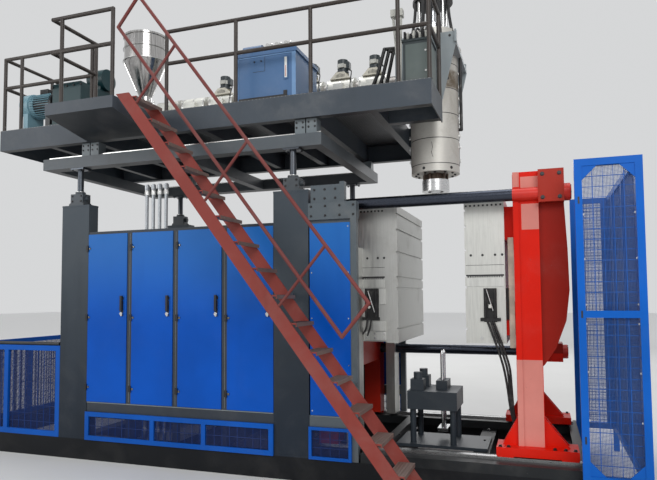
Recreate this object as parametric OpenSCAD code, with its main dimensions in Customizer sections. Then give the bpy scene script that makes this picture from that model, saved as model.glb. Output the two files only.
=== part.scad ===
// Accumulator-head blow moulding machine with a raised extruder platform.
// X runs along the machine, -Y is the operator's side, Z is up.
// The origin is on the floor at the middle of the base's anchor holes.

/* [Base] */
// Length of the base skid
base_l = 7200; // [7000:20:7600]
// Depth of the base and of the column rows
base_w = 2240; // [2200:20:2400]
// Height of the base skid
base_h = 225; // [200:5:240]
// Width of a long skid beam
skid_beam_w = 220; // [200:5:240]
// Width of a cross beam of the skid
skid_cross_w = 160; // [120:5:180]
// Wall of the skid beams
skid_wall = 12; // [8:1:16]
// Diameter of an anchor hole
anchor_d = 28; // [20:1:36]
// Distance of the anchor holes from the end of the base
anchor_inset = 150; // [120:5:190]

/* [Columns] */
// Width of a column along X
column_w = 380; // [340:5:390]
// Depth of a column along Y
column_d = 150; // [140:2:152]
// Wall of a column
column_wall = 10; // [8:1:14]
// Level of the column tops
column_top_z = 2880; // [2820:10:2940]
// Centre of the left columns
column_left_x = -1810; // [-1830:5:-1800]
// Centre of the right columns
column_right_x = 880; // [870:5:885]
// Thickness of the column's top and base plates
column_plate_t = 20; // [12:1:26]

/* [Cabinet] */
// Level of the cabinet's sill, under the doors
cabinet_sill_z = 644; // [620:4:680]
// Level of the cabinet's roof
cabinet_top_z = 2560; // [2480:5:2600]
// Width of a post between doors
door_post_w = 60; // [50:2:70]
// Depth of the cabinet's posts and rails
cabinet_frame_d = 60; // [50:2:80]
// Number of doors
door_count = 4; // [3:1:5]
// Gap around a door
door_gap = 4; // [3:0.5:6]
// Thickness of a door's folded edge
door_t = 32; // [24:1:40]
// Thickness of the door sheet
sheet_t = 3; // [2:0.5:5]
// Level of the door handles
door_handle_z = 1800; // [1700:10:1900]
// Length of a door handle
handle_l = 170; // [140:5:200]
// Diameter of a handle's shaft
handle_shaft_d = 16; // [12:1:20]
// Length of a hinge barrel
hinge_l = 70; // [50:5:90]
// Diameter of a hinge barrel
hinge_d = 18; // [14:1:22]
// Level of the lower mesh panels' top
lower_panel_top_z = 536; // [500:4:600]
// Right edge of the blue side panel
side_panel_x1 = 1505; // [1480:5:1510]
// Width of the post at the clamp's corner
corner_post_w = 65; // [50:5:80]
// Top of the header over the side panel
header_top_z = 2736; // [2700:4:2760]
// Height of the header
header_h = 170; // [140:5:176]

/* [Clamp] */
// Thickness of the clamp bed above the skid
bed_h = 90; // [70:5:110]
// Width of a bed beam
bed_beam_w = 360; // [320:5:380]
// Left end of the open bed
bed_x0 = 1590; // [1580:2:1600]
// Distance of a guide rail from the base's edge
rail_edge = 190; // [189:0.5:192]
// Width of a guide rail
rail_w = 60; // [50:1:62]
// Height of a guide rail
rail_h = 27; // [20:1:34]
// Middle of the mould space
mould_x = 2215; // [2205:5:2225]
// Open distance between the platen faces
daylight = 672; // [660:4:700]
// Width of a platen along Y
platen_w = 1400; // [1300:10:1440]
// Lower edge of the platens
platen_z0 = 1343; // [1320:5:1360]
// Upper edge of the platens
platen_z1 = 2760; // [2730:5:2780]
// Thickness of the left platen's block
platen_block_t = 353; // [330:5:360]
// Thickness of the left platen's face plate
platen_plate_t = 124; // [100:4:130]
// Thickness of the right platen
platen_right_t = 378; // [360:4:384]
// Width of a slot across the platens
slot_w = 22; // [16:1:28]
// Depth of a slot across the platens
slot_d = 14; // [8:1:20]
// Diameter of a tie bar
tie_d = 115; // [100:5:116]
// Distance of the upper tie bar from the base's front edge
tie_edge = 245; // [243:1:248]
// Distance of the lower tie bar from the base's rear edge
tie_lower_edge = 295; // [292:1:300]
// Level of the upper tie bar
tie_upper_z = 2738; // [2730:2:2744]
// Level of the lower tie bar
tie_lower_z = 1150; // [1120:5:1180]
// Right end of the tie bars
tie_x1 = 3530; // [3500:5:3532]
// Left end of the tie bars
tie_x0 = 1090; // [1085:1:1100]
// Thickness of the left yoke
yoke_left_t = 200; // [170:5:210]
// Clear gap between the left yoke and the left platen
yoke_gap = 90; // [80:2:100]
// Left face of the red yoke's columns
yoke_x0 = 3022; // [3010:2:3030]
// Width of a red column along X
yoke_col_w = 225; // [210:5:235]
// Depth of a red column along Y
yoke_col_d = 200; // [170:5:220]
// Distance of the red columns' front from the base's edge
yoke_edge = 260; // [256:1:264]
// Top of the red yoke
yoke_top_z = 2950; // [2900:5:2980]
// Length of a red foot along X
foot_l = 705; // [680:5:720]
// Height of a foot's flange
foot_h = 76; // [60:4:90]
// Clearance under a foot, over its slide pads
foot_clear = 10; // [6:1:14]
// Diameter of the clamp cylinder
cylinder_d = 320; // [280:10:340]
// Length of the clamp cylinder
cylinder_l = 700; // [680:10:720]
// Diameter of the clamp piston rod
clamp_rod_d = 140; // [120:5:160]
// Running gap of a shaft in its hole
fit_gap = 0.05; // [0.02:0.01:0.08]

/* [Lift] */
// Height of a jack housing
jack_h = 160; // [140:5:170]
// Width of a jack housing
jack_w = 170; // [150:5:178]
// Diameter of a jack screw
jack_screw_d = 70; // [60:2:76]
// Length of the screw below the housing's top
jack_screw_below = 420; // [380:10:460]
// Gap between the jack housing and the lift beam
lift_gap = 283; // [270:5:300]
// Height of a lift beam
lift_beam_h = 128; // [120:4:136]
// Left end of the lift beams
lift_x0 = -2300; // [-2360:10:-2260]
// Right end of the lift beams
lift_x1 = 1215; // [1190:5:1240]
// Height of the slide rail on a lift beam
slide_rail_h = 24; // [18:1:30]
// Width of the slide rail
slide_rail_w = 46; // [36:2:56]
// Height of a slide block
slide_block_h = 125; // [110:5:135]
// Length of a slide block
slide_block_l = 110; // [100:5:120]

/* [Platform] */
// Left end of the platform
deck_x0 = -2934; // [-2980:10:-2900]
// Right end of the platform
deck_x1 = 2330; // [2300:10:2360]
// Reach of the platform over the base, front and back
deck_overhang = 40; // [30:5:80]
// Height of the platform's edge channel
deck_beam_h = 243; // [220:5:260]
// Width of the edge channel's flange
deck_flange_w = 90; // [75:5:100]
// Thickness of the channel's web and flanges
deck_wall = 10; // [8:1:14]
// Thickness of the deck plate
deck_plate_t = 6; // [4:1:8]
// Left edge of the landing
landing_x0 = -1620; // [-1640:5:-1600]
// Right edge of the landing
landing_x1 = -760; // [-775:5:-760]
// Reach of the landing in front of the platform
landing_d = 648; // [640:4:660]
// Height of the landing's edge
landing_h = 124; // [110:4:136]
// Height of the handrails above the deck
handrail_h = 900; // [880:10:960]
// Height of the middle rail above the deck
midrail_h = 540; // [500:10:580]
// Diameter of a handrail tube
handrail_d = 42; // [36:1:48]

/* [Stair] */
// Outer width of the stair
stair_w = 460; // [440:5:470]
// Run from tread to tread
tread_run = 189; // [186:1:190]
// Height of the lowest tread
tread_z0 = 333; // [320:1:345]
// Number of treads
tread_count = 15; // [13:1:15]
// Place of the lowest tread along X
tread_x0 = 2086; // [2076:2:2096]
// Depth of a tread
tread_d = 150; // [130:5:165]
// Thickness of a tread
tread_t = 8; // [5:1:12]
// Depth of a stringer across its slope
stringer_d = 122; // [116:2:134]
// Thickness of a stringer
stringer_t = 12; // [8:1:16]
// Diameter of the stair's rail tube
stair_rail_d = 34; // [28:1:40]

/* [Extruder] */
// Distance of the extruder's axis from the centre line
extruder_y = 0; // [-10:2:10]
// Height of the extruder's axis above the deck
extruder_h = 381; // [351:5:401]
// Diameter of the barrel
barrel_d = 190; // [180:5:200]
// Diameter of the screw
screw_d = 120; // [110:2:126]
// Left end of the barrel
barrel_x0 = -1832; // [-1840:2:-1826]
// Centre of the hopper
hopper_x = -1686; // [-1690:2:-1680]
// Diameter of the hopper
hopper_d = 560; // [520:10:580]
// Height of the hopper from its cone's lower end
hopper_h = 810; // [760:10:860]
// Height of the hopper's straight part
hopper_cyl_h = 340; // [320:10:360]
// Wall of the hopper
hopper_wall = 4; // [3:0.5:6]
// Length of the gearbox
gearbox_l = 418; // [380:2:440]
// Diameter of the drive motor
motor_d = 280; // [260:10:300]
// Length of the drive motor
motor_l = 500; // [460:10:520]

/* [Head] */
// Centre of the head along X
head_x = 2170; // [2165:1:2175]
// Diameter of the head
head_d = 530; // [500:5:540]
// Length of the head below the deck
head_below = 696; // [684:1:708]
// Height of the head above the deck
head_above = 891; // [851:10:931]
// Diameter of the die ring
die_d = 301; // [280:1:310]
// Length of the die below the head's body
die_drop = 191; // [185:1:200]
// Height of the die ring
die_h = 124; // [110:1:130]
// Diameter of the mandrel at the die
mandrel_d = 120; // [100:5:140]
// Diameter of the ram cylinder on the head
ram_cylinder_d = 200; // [180:5:220]
// Height of the tie rods above the head's body
tie_rod_h = 660; // [600:10:680]

/* [Guards] */
// Side of a guard frame tube
guard_tube = 60; // [50:2:64]
// Pitch of the guard mesh
mesh_pitch = 90; // [80:5:120]
// Thickness of a mesh wire
wire_t = 4; // [3:0.5:6]
// Top of the left guard
left_guard_top_z = 1260; // [1200:10:1300]
// Overlap of the right guard with the base's end
guard_overlap = 63; // [60:1:66]
// Width of the right guard along X
guard_w = 526; // [500:2:556]
// Reach of the right guard in front of the base
guard_reach = 130; // [110:5:150]
// Lower edge of the right guard
guard_z0 = 250; // [240:5:260]
// Upper edge of the right guard
guard_z1 = 2950; // [2900:10:3000]

/* [Hidden] */
$fn = 48;
eps = 0.01;

skid_top = base_h;
bed_top = skid_top + bed_h;
rail_top = bed_top + rail_h;
rail_y = base_w / 2 - rail_edge;
tie_y = base_w / 2 - tie_edge;
tie_lower_y = base_w / 2 - tie_lower_edge;
yoke_front_y = base_w / 2 - yoke_edge;
column_y = base_w / 2 - column_d / 2;
column_x = [column_left_x, column_right_x];
door_zone_x0 = column_left_x + column_w / 2;
door_zone_x1 = column_right_x - column_w / 2;
side_panel_x0 = column_right_x + column_w / 2 + 15;
door_pitch = (door_zone_x1 - door_zone_x0 + door_post_w) / door_count;
door_w = door_pitch - door_post_w - 2 * door_gap;
door_z0 = cabinet_sill_z + door_gap;
door_z1 = cabinet_top_z - 31;

platen_left_x = mould_x - daylight / 2;
platen_right_x = mould_x + daylight / 2;
platen_back_x = platen_left_x - platen_plate_t - platen_block_t;
yoke_left_x1 = platen_back_x - yoke_gap;
yoke_left_x0 = yoke_left_x1 - yoke_left_t;

jack_top_z = column_top_z + jack_h;
lift_z0 = jack_top_z + lift_gap;
lift_z1 = lift_z0 + lift_beam_h;
slide_rail_z1 = lift_z1 + slide_rail_h;
deck_z0 = lift_z1 + slide_block_h + slide_rail_h;
deck_top = deck_z0 + deck_beam_h;
deck_z = deck_top + deck_plate_t;
deck_front_y = -base_w / 2 - deck_overhang;
tread_rise = (deck_top - 38 - tread_z0) / (tread_count - 1);
extruder_z = deck_z + extruder_h;
hopper_cone_z = extruder_z + 250;
hopper_top_z = hopper_cone_z + hopper_h;
head_z0 = deck_z - head_below;
head_z1 = deck_z + head_above;
head_top_z = head_z1 + tie_rod_h;
die_z0 = head_z0 - die_drop;
guard_x0 = base_l / 2 - guard_overlap;
guard_x1 = guard_x0 + guard_w;
guard_front_y = base_w / 2 + guard_reach;
landing_front_y = deck_front_y - landing_d;
rail_inset = 30;

// A box between two corners
module box(x0, x1, y0, y1, z0, z1) {
  translate([x0, y0, z0]) cube([x1 - x0, y1 - y0, z1 - z0]);
}

// The same thing on both sides of the centre plane
module both_sides() {
  children();
  mirror([0, 1, 0]) children();
}

// A round bar from p to q
module rod(p, q, d) {
  v = q - p;
  l = norm(v);
  translate(p) rotate([0, acos(v[2] / l), atan2(v[1], v[0])]) cylinder(d = d, h = l);
}

// A cylinder along X from x0 to x1
module x_cyl(x0, x1, y, z, d) {
  translate([x0, y, z]) rotate([0, 90, 0]) cylinder(d = d, h = x1 - x0);
}

// A cylinder along Y from y0 to y1
module y_cyl(x, y0, y1, z, d) {
  translate([x, y1, z]) rotate([90, 0, 0]) cylinder(d = d, h = y1 - y0);
}

// A cylinder along Z from z0 to z1
module z_cyl(x, y, z0, z1, d) {
  translate([x, y, z0]) cylinder(d = d, h = z1 - z0);
}

// A hollow rectangular tube along X, open at both ends
module x_tube(x0, x1, y0, y1, z0, z1, wall) {
  difference() {
    box(x0, x1, y0, y1, z0, z1);
    box(x0 - 1, x1 + 1, y0 + wall, y1 - wall, z0 + wall, z1 - wall);
  }
}

// A hollow rectangular tube along Y, open at both ends
module y_tube(x0, x1, y0, y1, z0, z1, wall) {
  difference() {
    box(x0, x1, y0, y1, z0, z1);
    box(x0 + wall, x1 - wall, y0 - 1, y1 + 1, z0 + wall, z1 - wall);
  }
}

// The two long beams and the cross beams that the whole machine stands on
module base_skid() {
  cross_x = [-base_l / 2 + 90, column_left_x, -465, column_right_x, bed_x0 + 150, 2640, base_l / 2 - 90];
  anchor_x = base_l / 2 - anchor_inset;
  anchor_y = base_w / 2 - skid_beam_w / 2;
  color([0.06, 0.07, 0.08]) difference() {
    union() {
      both_sides() box(-base_l / 2, base_l / 2, -base_w / 2, -base_w / 2 + skid_beam_w, 0, base_h);
      for (x = cross_x) {
        y_tube(x - skid_cross_w / 2, x + skid_cross_w / 2, -base_w / 2 + skid_beam_w,
          base_w / 2 - skid_beam_w, 0, base_h, skid_wall);
      }
    }
    both_sides() {
      box(-base_l / 2 + skid_wall, base_l / 2 - skid_wall, -base_w / 2 + skid_wall,
        -base_w / 2 + skid_beam_w - skid_wall, skid_wall, base_h - skid_wall);
      for (x = [-anchor_x, anchor_x]) z_cyl(x, -anchor_y, -1, base_h + 1, anchor_d);
    }
  }
}

// Four box columns with closed ends, each with a hole for its jack screw
module columns() {
  color([0.2, 0.24, 0.27]) both_sides() for (x = column_x) difference() {
    box(x - column_w / 2, x + column_w / 2, -base_w / 2, -base_w / 2 + column_d, skid_top, column_top_z);
    box(x - column_w / 2 + column_wall, x + column_w / 2 - column_wall, -base_w / 2 + column_wall,
      -base_w / 2 + column_d - column_wall, skid_top + column_plate_t, column_top_z - column_plate_t);
    z_cyl(x, -column_y, column_top_z - column_plate_t - 1, column_top_z + 1, jack_screw_d + 16);
  }
}

// Four screw jack housings, bored for the screws
module jack_housings() {
  flange_t = 20;
  boss_h = 26;
  color([0.42, 0.46, 0.45]) both_sides() for (x = column_x) difference() {
    union() {
      box(x - jack_w / 2 - 18, x + jack_w / 2 + 18, -column_y - column_d / 2 + 4,
        -column_y + column_d / 2 - 4, column_top_z, column_top_z + flange_t);
      box(x - jack_w / 2, x + jack_w / 2, -column_y - column_d / 2 + 10, -column_y + column_d / 2 - 10,
        column_top_z + flange_t, jack_top_z - boss_h);
      z_cyl(x, -column_y, jack_top_z - boss_h, jack_top_z, jack_screw_d + 44);
      x_cyl(x + jack_w / 2, x + jack_w / 2 + 34, -column_y, (column_top_z + jack_top_z) / 2, 54);
    }
    z_cyl(x, -column_y, column_top_z - 1, jack_top_z + 1, jack_screw_d + 2 * fit_gap);
  }
}

// Left edge of door k, from 0
function door_x(k) = door_zone_x0 + k * door_pitch + door_gap;

// Posts, sills and top rails of the cabinet, front and back
module cabinet_frame() {
  sill_z0 = lower_panel_top_z;
  y0 = -base_w / 2 + 6;
  y1 = y0 + cabinet_frame_d;
  color([0.1, 0.12, 0.14]) both_sides() {
    box(door_zone_x0, door_zone_x1, y0, y1, sill_z0, cabinet_sill_z);
    box(door_zone_x0, door_zone_x1, y0, y1, cabinet_top_z - 31, cabinet_top_z);
    for (k = [1:door_count - 1]) {
      x = door_x(k) - door_gap - door_post_w;
      box(x, x + door_post_w, y0, y1, cabinet_sill_z, cabinet_top_z - 31);
      box(x, x + door_post_w, y0, y1, skid_top, sill_z0);
    }
  }
  color([0.1, 0.12, 0.14]) for (rail = [[door_zone_x0, -y1], [door_x(2) - door_gap - door_post_w, -20]]) {
    box(rail[0], rail[0] + door_post_w, y1, -y1, cabinet_top_z - 31, cabinet_top_z - sheet_t);
    box(rail[0], rail[0] + door_post_w, y1, rail[1], sill_z0, cabinet_sill_z);
  }
}

// Roof, rear sheets and left wall of the cabinet
module cabinet_shell() {
  y0 = -base_w / 2 + 6;
  wall_y = base_w / 2 - column_d;
  color([0.25, 0.29, 0.32]) {
    difference() {
      box(door_zone_x0, door_zone_x1, y0 + cabinet_frame_d, -y0 - cabinet_frame_d,
        cabinet_top_z - sheet_t, cabinet_top_z);
      for (i = [0:3]) z_cyl(riser_x(i), riser_y, cabinet_top_z - 10, cabinet_top_z + 10, riser_d + 10);
    }
    box(door_zone_x0, door_zone_x1, -y0, -y0 + sheet_t, lower_panel_top_z, cabinet_top_z);
    box(door_zone_x0, door_zone_x0 + sheet_t, -wall_y, wall_y, cabinet_sill_z, cabinet_top_z - 31);
  }
}

hinge_pin_d = 10;
hinge_zs = [door_z0 + 160, (door_z0 + door_z1) / 2, door_z1 - 160];
door_front_y = -base_w / 2 - 2;
hinge_y = door_front_y - hinge_d / 2;
knuckle_gap = 0.5;

// Axis of door k's hinges along X
function hinge_x(k) = door_x(k) - door_gap / 2;

// Fixed hinge leaves with their pins, three to a door
module door_hinges() {
  color([0.04, 0.04, 0.05]) for (k = [0:door_count - 1]) for (z = hinge_zs) {
    x = hinge_x(k);
    leaf_y = k == 0 ? -base_w / 2 : -base_w / 2 + 6;
    leaf_x1 = k == 0 ? x - 6.5 : x - door_gap / 2 - 0.2;
    for (s = [-1, 1]) {
      z_cyl(x, hinge_y, z + s * hinge_l / 3 - hinge_l / 6, z + s * hinge_l / 3 + hinge_l / 6, hinge_d);
      box(x - hinge_d / 2, x, hinge_y, leaf_y - 4, z + s * hinge_l / 3 - hinge_l / 6,
        z + s * hinge_l / 3 + hinge_l / 6);
    }
    z_cyl(x, hinge_y, z - hinge_l / 2, z + hinge_l / 2, hinge_pin_d);
    box(x - 32, leaf_x1, leaf_y - 4, leaf_y, z - hinge_l / 2, z + hinge_l / 2);
  }
}

// A folded sheet door with its hinge knuckles and its handle's hole
module door(k) {
  x0 = door_x(k);
  x1 = x0 + door_w;
  y0 = door_front_y;
  color([0.02, 0.3, 0.72]) difference() {
    union() {
      difference() {
        box(x0, x1, y0, y0 + door_t, door_z0, door_z1);
        box(x0 + sheet_t, x1 - sheet_t, y0 + sheet_t, y0 + door_t + 1, door_z0 + sheet_t, door_z1 - sheet_t);
      }
      for (z = hinge_zs) {
        zk = hinge_l / 6 - knuckle_gap;
        z_cyl(hinge_x(k), hinge_y, z - zk, z + zk, hinge_d);
        box(hinge_x(k), x0 + 30, y0 - 4, y0, z - zk, z + zk);
      }
      y_cyl(handle_x(k), y0, y0 + 18, door_handle_z, handle_shaft_d + 16);
    }
    for (z = hinge_zs) z_cyl(hinge_x(k), hinge_y, z - hinge_l, z + hinge_l, hinge_pin_d + 2 * fit_gap);
    y_cyl(handle_x(k), y0 - 1, y0 + 19, door_handle_z, handle_shaft_d + 2 * fit_gap);
  }
}
module door_1() { door(0); }
module door_2() { door(1); }
module door_3() { door(2); }
module door_4() { door(3); }

// Place of door k's handle along X
function handle_x(k) = door_x(k) + door_w - 58;

// A turning handle with its shaft and lock disc
module handle(k) {
  x = handle_x(k);
  y0 = door_front_y - 0.3;
  grip_w = 26;
  color([0.05, 0.05, 0.06]) {
    y_cyl(x, y0 - 8, y0, door_handle_z, 46);
    y_cyl(x, y0 - 8, door_front_y + 30, door_handle_z, handle_shaft_d);
    y_cyl(x, door_front_y + 18.4, door_front_y + 26, door_handle_z, 40);
    box(x - grip_w / 2, x + grip_w / 2, y0 - 28, y0 - 8, door_handle_z - handle_l + 30, door_handle_z + 30);
  }
}
module handle_1() { handle(0); }
module handle_2() { handle(1); }
module handle_3() { handle(2); }
module handle_4() { handle(3); }

// Mounting plate with its row of switchgear inside the cabinet
module switchgear_plate() {
  x0 = door_zone_x0 + door_post_w;
  x1 = door_x(2) - door_gap - door_post_w;
  y0 = -base_w / 2 + 330;
  color([0.75, 0.75, 0.72]) {
    box(x0, x1, y0, y0 + sheet_t, lower_panel_top_z, cabinet_top_z - sheet_t);
    for (z = [900, 1300, 1700, 2100]) for (i = [0:3]) {
      box(x0 + 60 + i * 220, x0 + 220 + i * 220, y0 - 90, y0, z, z + 180);
    }
  }
}

tank_x0 = -1400;
tank_l = 1050;
tank_w = 900;
tank_h = 520;

// Oil tank that stands on the skid's cross beams
module hydraulic_tank() {
  color([0.28, 0.38, 0.5]) difference() {
    union() {
      box(tank_x0, tank_x0 + tank_l, 0, tank_w, skid_top + 60, skid_top + 60 + tank_h);
      for (x = [column_left_x + skid_cross_w / 2 - 20, -465 + 20]) {
        box(x - 60, x + 60, 0, tank_w, skid_top, skid_top + 60);
      }
      box(column_left_x + 20, -465 + 60, 40, 100, skid_top, skid_top + 60);
      box(column_left_x + 20, -465 + 60, tank_w - 100, tank_w - 40, skid_top, skid_top + 60);
    }
    box(tank_x0 + 6, tank_x0 + tank_l - 6, 6, tank_w - 6, skid_top + 66, skid_top + 54 + tank_h);
  }
  color([0.1, 0.1, 0.1]) z_cyl(tank_x0 + 140, tank_w / 2, skid_top + 60 + tank_h,
    skid_top + 150 + tank_h, 90);
}

// Pump with its electric motor on the tank
module pump_motor() {
  z0 = skid_top + 60 + tank_h;
  axis_z = z0 + 190;
  y = tank_w / 2;
  x0 = tank_x0 + 280;
  color([0.2, 0.42, 0.45]) {
    x_cyl(x0, x0 + 420, y, axis_z, 290);
    for (x = [x0 + 60, x0 + 300]) box(x, x + 50, y - 120, y + 120, z0, axis_z - 100);
    x_cyl(x0 + 420, x0 + 520, y, axis_z, 170);
    x_cyl(x0 + 520, x0 + 640, y, axis_z, 130);
    box(x0 + 100, x0 + 220, y - 60, y + 60, axis_z + 120, axis_z + 210);
  }
}

riser_d = 38;
riser_y = -base_w / 2 + 120;

// Place of riser pipe i along X
function riser_x(i) = -921 + 84 * i;

// Four upright oil pipes that rise through the cabinet's roof
module riser_pipes() {
  top_z = 3080;
  color([0.7, 0.72, 0.72]) for (i = [0:3]) {
    z_cyl(riser_x(i), riser_y, skid_top, top_z, riser_d);
    z_cyl(riser_x(i), riser_y, top_z - 60, top_z - 10, riser_d + 18);
    z_cyl(riser_x(i), riser_y, skid_top, skid_top + 14, riser_d + 36);
  }
}

// Folded blue panels that close the frame beside the clamp, front and back
module side_panel() {
  color([0.02, 0.3, 0.72]) both_sides() difference() {
    box(side_panel_x0, side_panel_x1, door_front_y, door_front_y + door_t, door_z0, door_z1);
    box(side_panel_x0 + sheet_t, side_panel_x1 - sheet_t, door_front_y + sheet_t, door_front_y + door_t + 1,
      door_z0 + sheet_t, door_z1 - sheet_t);
  }
}

// Corner posts and header beams between the right columns and the clamp, and the stair's two ties
module clamp_header() {
  x0 = column_right_x + column_w / 2;
  x1 = side_panel_x1 + corner_post_w;
  y0 = -base_w / 2;
  y1 = y0 + 100;
  z0 = header_top_z - header_h;
  color([0.3, 0.34, 0.38]) both_sides() {
    x_tube(x0, x1, y0, y1, z0, header_top_z, 8);
    box(x1 - 8, x1, y0 + 8, y1 - 8, z0 + 8, header_top_z - 8);
    difference() {
      box(side_panel_x1 + 2, x1, y0, y0 + corner_post_w, skid_top, z0);
      box(side_panel_x1 + 8, x1 - 6, y0 + 6, y0 + corner_post_w - 6, skid_top + 6, z0 - 6);
    }
    box(x0, side_panel_x1 + 2, y0 + 6, y0 + 66, lower_panel_top_z, cabinet_sill_z);
    box(x0, side_panel_x1 + 2, door_front_y + door_t, y0 + 60, door_z1 - 40, z0);
    box(x0 + 20, x0 + 330, y0 + 20, y0 + 26, header_top_z, header_top_z + 180);
    box(x0 + 325, x0 + 375, y0 + 20, y0 + 90, header_top_z, header_top_z + 205);
  }
  color([0.3, 0.34, 0.38]) for (x = stair_ties) {
    z = stringer_low(x) + 50;
    box(x - 22, x + 22, stair_y0 + stair_w, y0, z, z + 50);
  }
}

// A welded frame of square bars in the XZ plane with wire mesh in it
module mesh_frame(x0, x1, y0, y1, z0, z1, bar, splits) {
  ym = (y0 + y1) / 2;
  nx = max(1, round((x1 - x0 - 2 * bar) / mesh_pitch));
  nz = max(1, round((z1 - z0 - 2 * bar) / mesh_pitch));
  px = (x1 - x0 - 2 * bar) / nx;
  pz = (z1 - z0 - 2 * bar) / nz;
  difference() {
    box(x0, x1, y0, y1, z0, z1);
    box(x0 + bar, x1 - bar, y0 - 1, y1 + 1, z0 + bar, z1 - bar);
  }
  for (s = splits) box(s - bar / 2, s + bar / 2, y0, y1, z0 + bar - eps, z1 - bar + eps);
  if (nx > 1) for (i = [1:nx - 1]) {
    box(x0 + bar + i * px - wire_t / 2, x0 + bar + i * px + wire_t / 2, ym, ym + wire_t,
      z0 + bar - 2, z1 - bar + 2);
  }
  if (nz > 1) for (i = [1:nz - 1]) {
    box(x0 + bar - 2, x1 - bar + 2, ym, ym + wire_t,
      z0 + bar + i * pz - wire_t / 2, z0 + bar + i * pz + wire_t / 2);
  }
}

// Blue mesh panels under the doors, front and back
module lower_panels() {
  bar = 50;
  z1 = lower_panel_top_z;
  s1 = door_x(1) + 0.55 * door_w;
  s3 = door_x(2) + 0.62 * door_w;
  x2 = column_right_x + column_w / 2;
  y0 = -base_w / 2 - 22;
  color([0.05, 0.28, 0.62]) both_sides() {
    mesh_frame(door_zone_x0, door_zone_x1, y0, y0 + 22, skid_top, z1, bar, [s1, s3]);
    mesh_frame(x2, side_panel_x1 + 2, y0, y0 + 22, skid_top, z1, bar - 20, []);
  }
}

// Low blue mesh guard around the left end of the base
module left_guard() {
  x0 = -base_l / 2;
  x1 = column_left_x - column_w / 2 - 4;
  y0 = -base_w / 2;
  depth = 40;
  color([0.05, 0.28, 0.62]) {
    both_sides() mesh_frame(x0, x1, y0, y0 + depth, skid_top, left_guard_top_z, guard_tube, [(x0 + x1) / 2]);
    rotate([0, 0, 90]) mesh_frame(y0 + depth, -y0 - depth, -x0 - depth, -x0, skid_top, left_guard_top_z,
      guard_tube, [0]);
  }
  color([0.05, 0.05, 0.06]) both_sides() {
    x_cyl(x0 + 20, x1 - 20, y0 + depth / 2, left_guard_top_z + 20 - eps, 40);
  }
}

// Level of the right guard's middle rail
guard_mid_z = 1640;
guard_side_posts = [-300, 560];

// A plate across the corner of a guard frame
module corner_plate(x, z, sx, sz) {
  side = 120;
  translate([x, -guard_front_y + 14, z]) rotate([90, 0, 0]) linear_extrude(height = 8) {
    polygon([[0, 0], [sx * side, 0], [0, sz * side]]);
  }
}

// Tall blue guard at the clamp's right end: front, side and rear fence on legs
module right_guard() {
  t = guard_tube;
  y0 = -guard_front_y;
  y1 = base_w / 2;
  rear_x0 = base_l / 2 + 4;
  color([0.05, 0.32, 0.75]) {
    mesh_frame(guard_x0, guard_x1, y0, y0 + t, guard_z0, guard_z1, t, []);
    box(guard_x0 + t - eps, guard_x1 - t + eps, y0, y0 + t, guard_mid_z - t / 2, guard_mid_z + t / 2);
    for (c = [[guard_x0 + t, 1], [guard_x1 - t, -1]]) {
      corner_plate(c[0], guard_z0 + t, c[1], 1);
      corner_plate(c[0], guard_z1 - t, c[1], -1);
    }
    rotate([0, 0, 90]) mesh_frame(y0 + t, y1, -guard_x1, -guard_x1 + t, guard_z0, guard_z1,
      t, guard_side_posts);
    mesh_frame(rear_x0, guard_x1 - t, y1 - t, y1, guard_z0, guard_z1, t, []);
    for (x = [guard_x0, guard_x1 - t]) {
      box(x, x + t, y0, y0 + t, 0, guard_z0);
      box(x - 25, x + t + 25, y0 - 25, y0 + t + 25, 0, 10);
    }
    box(guard_x1 - t, guard_x1, y1 - t, y1, 0, guard_z0);
    box(rear_x0, rear_x0 + t, y1 - t, y1, 0, guard_z0);
    box(guard_x0 + 10, guard_x0 + t - 10, y0 + t, -base_w / 2, 150, 190);
  }
}

bed_wall = 14;

// Low box beams beside the pit of the clamp
module clamp_bed() {
  x1 = base_l / 2;
  y0 = -base_w / 2;
  y1 = y0 + bed_beam_w;
  ext_y0 = y0 + column_d + 4;
  color([0.12, 0.13, 0.14]) {
    both_sides() difference() {
      union() {
        box(bed_x0, x1, y0, y1, skid_top, bed_top);
        box(column_right_x - 120, bed_x0 + eps, ext_y0, y1, skid_top, bed_top);
      }
      box(bed_x0 + bed_wall, x1 - bed_wall, y0 + bed_wall, y1 - bed_wall,
        skid_top + bed_wall, bed_top - bed_wall);
    }
    for (x = [bed_x0 + 70, x1 - 90]) {
      y_tube(x, x + 90, y1, -y1, skid_top, bed_top, bed_wall);
    }
  }
}

// The two guide rails that the clamp's frames slide on
module guide_rails() {
  color([0.72, 0.74, 0.76]) both_sides() {
    box(column_right_x - 100, base_l / 2 - 40, -rail_y - rail_w / 2, -rail_y + rail_w / 2, bed_top, rail_top);
  }
}

station_x = 2140;
station_y = -60;
pin_d = 36;
pin_pitch = 140;
station_z0 = 610;
station_z1 = 800;

// Place of blow pin i along Y
function pin_y(i) = (i - 0.5) * pin_pitch;

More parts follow.
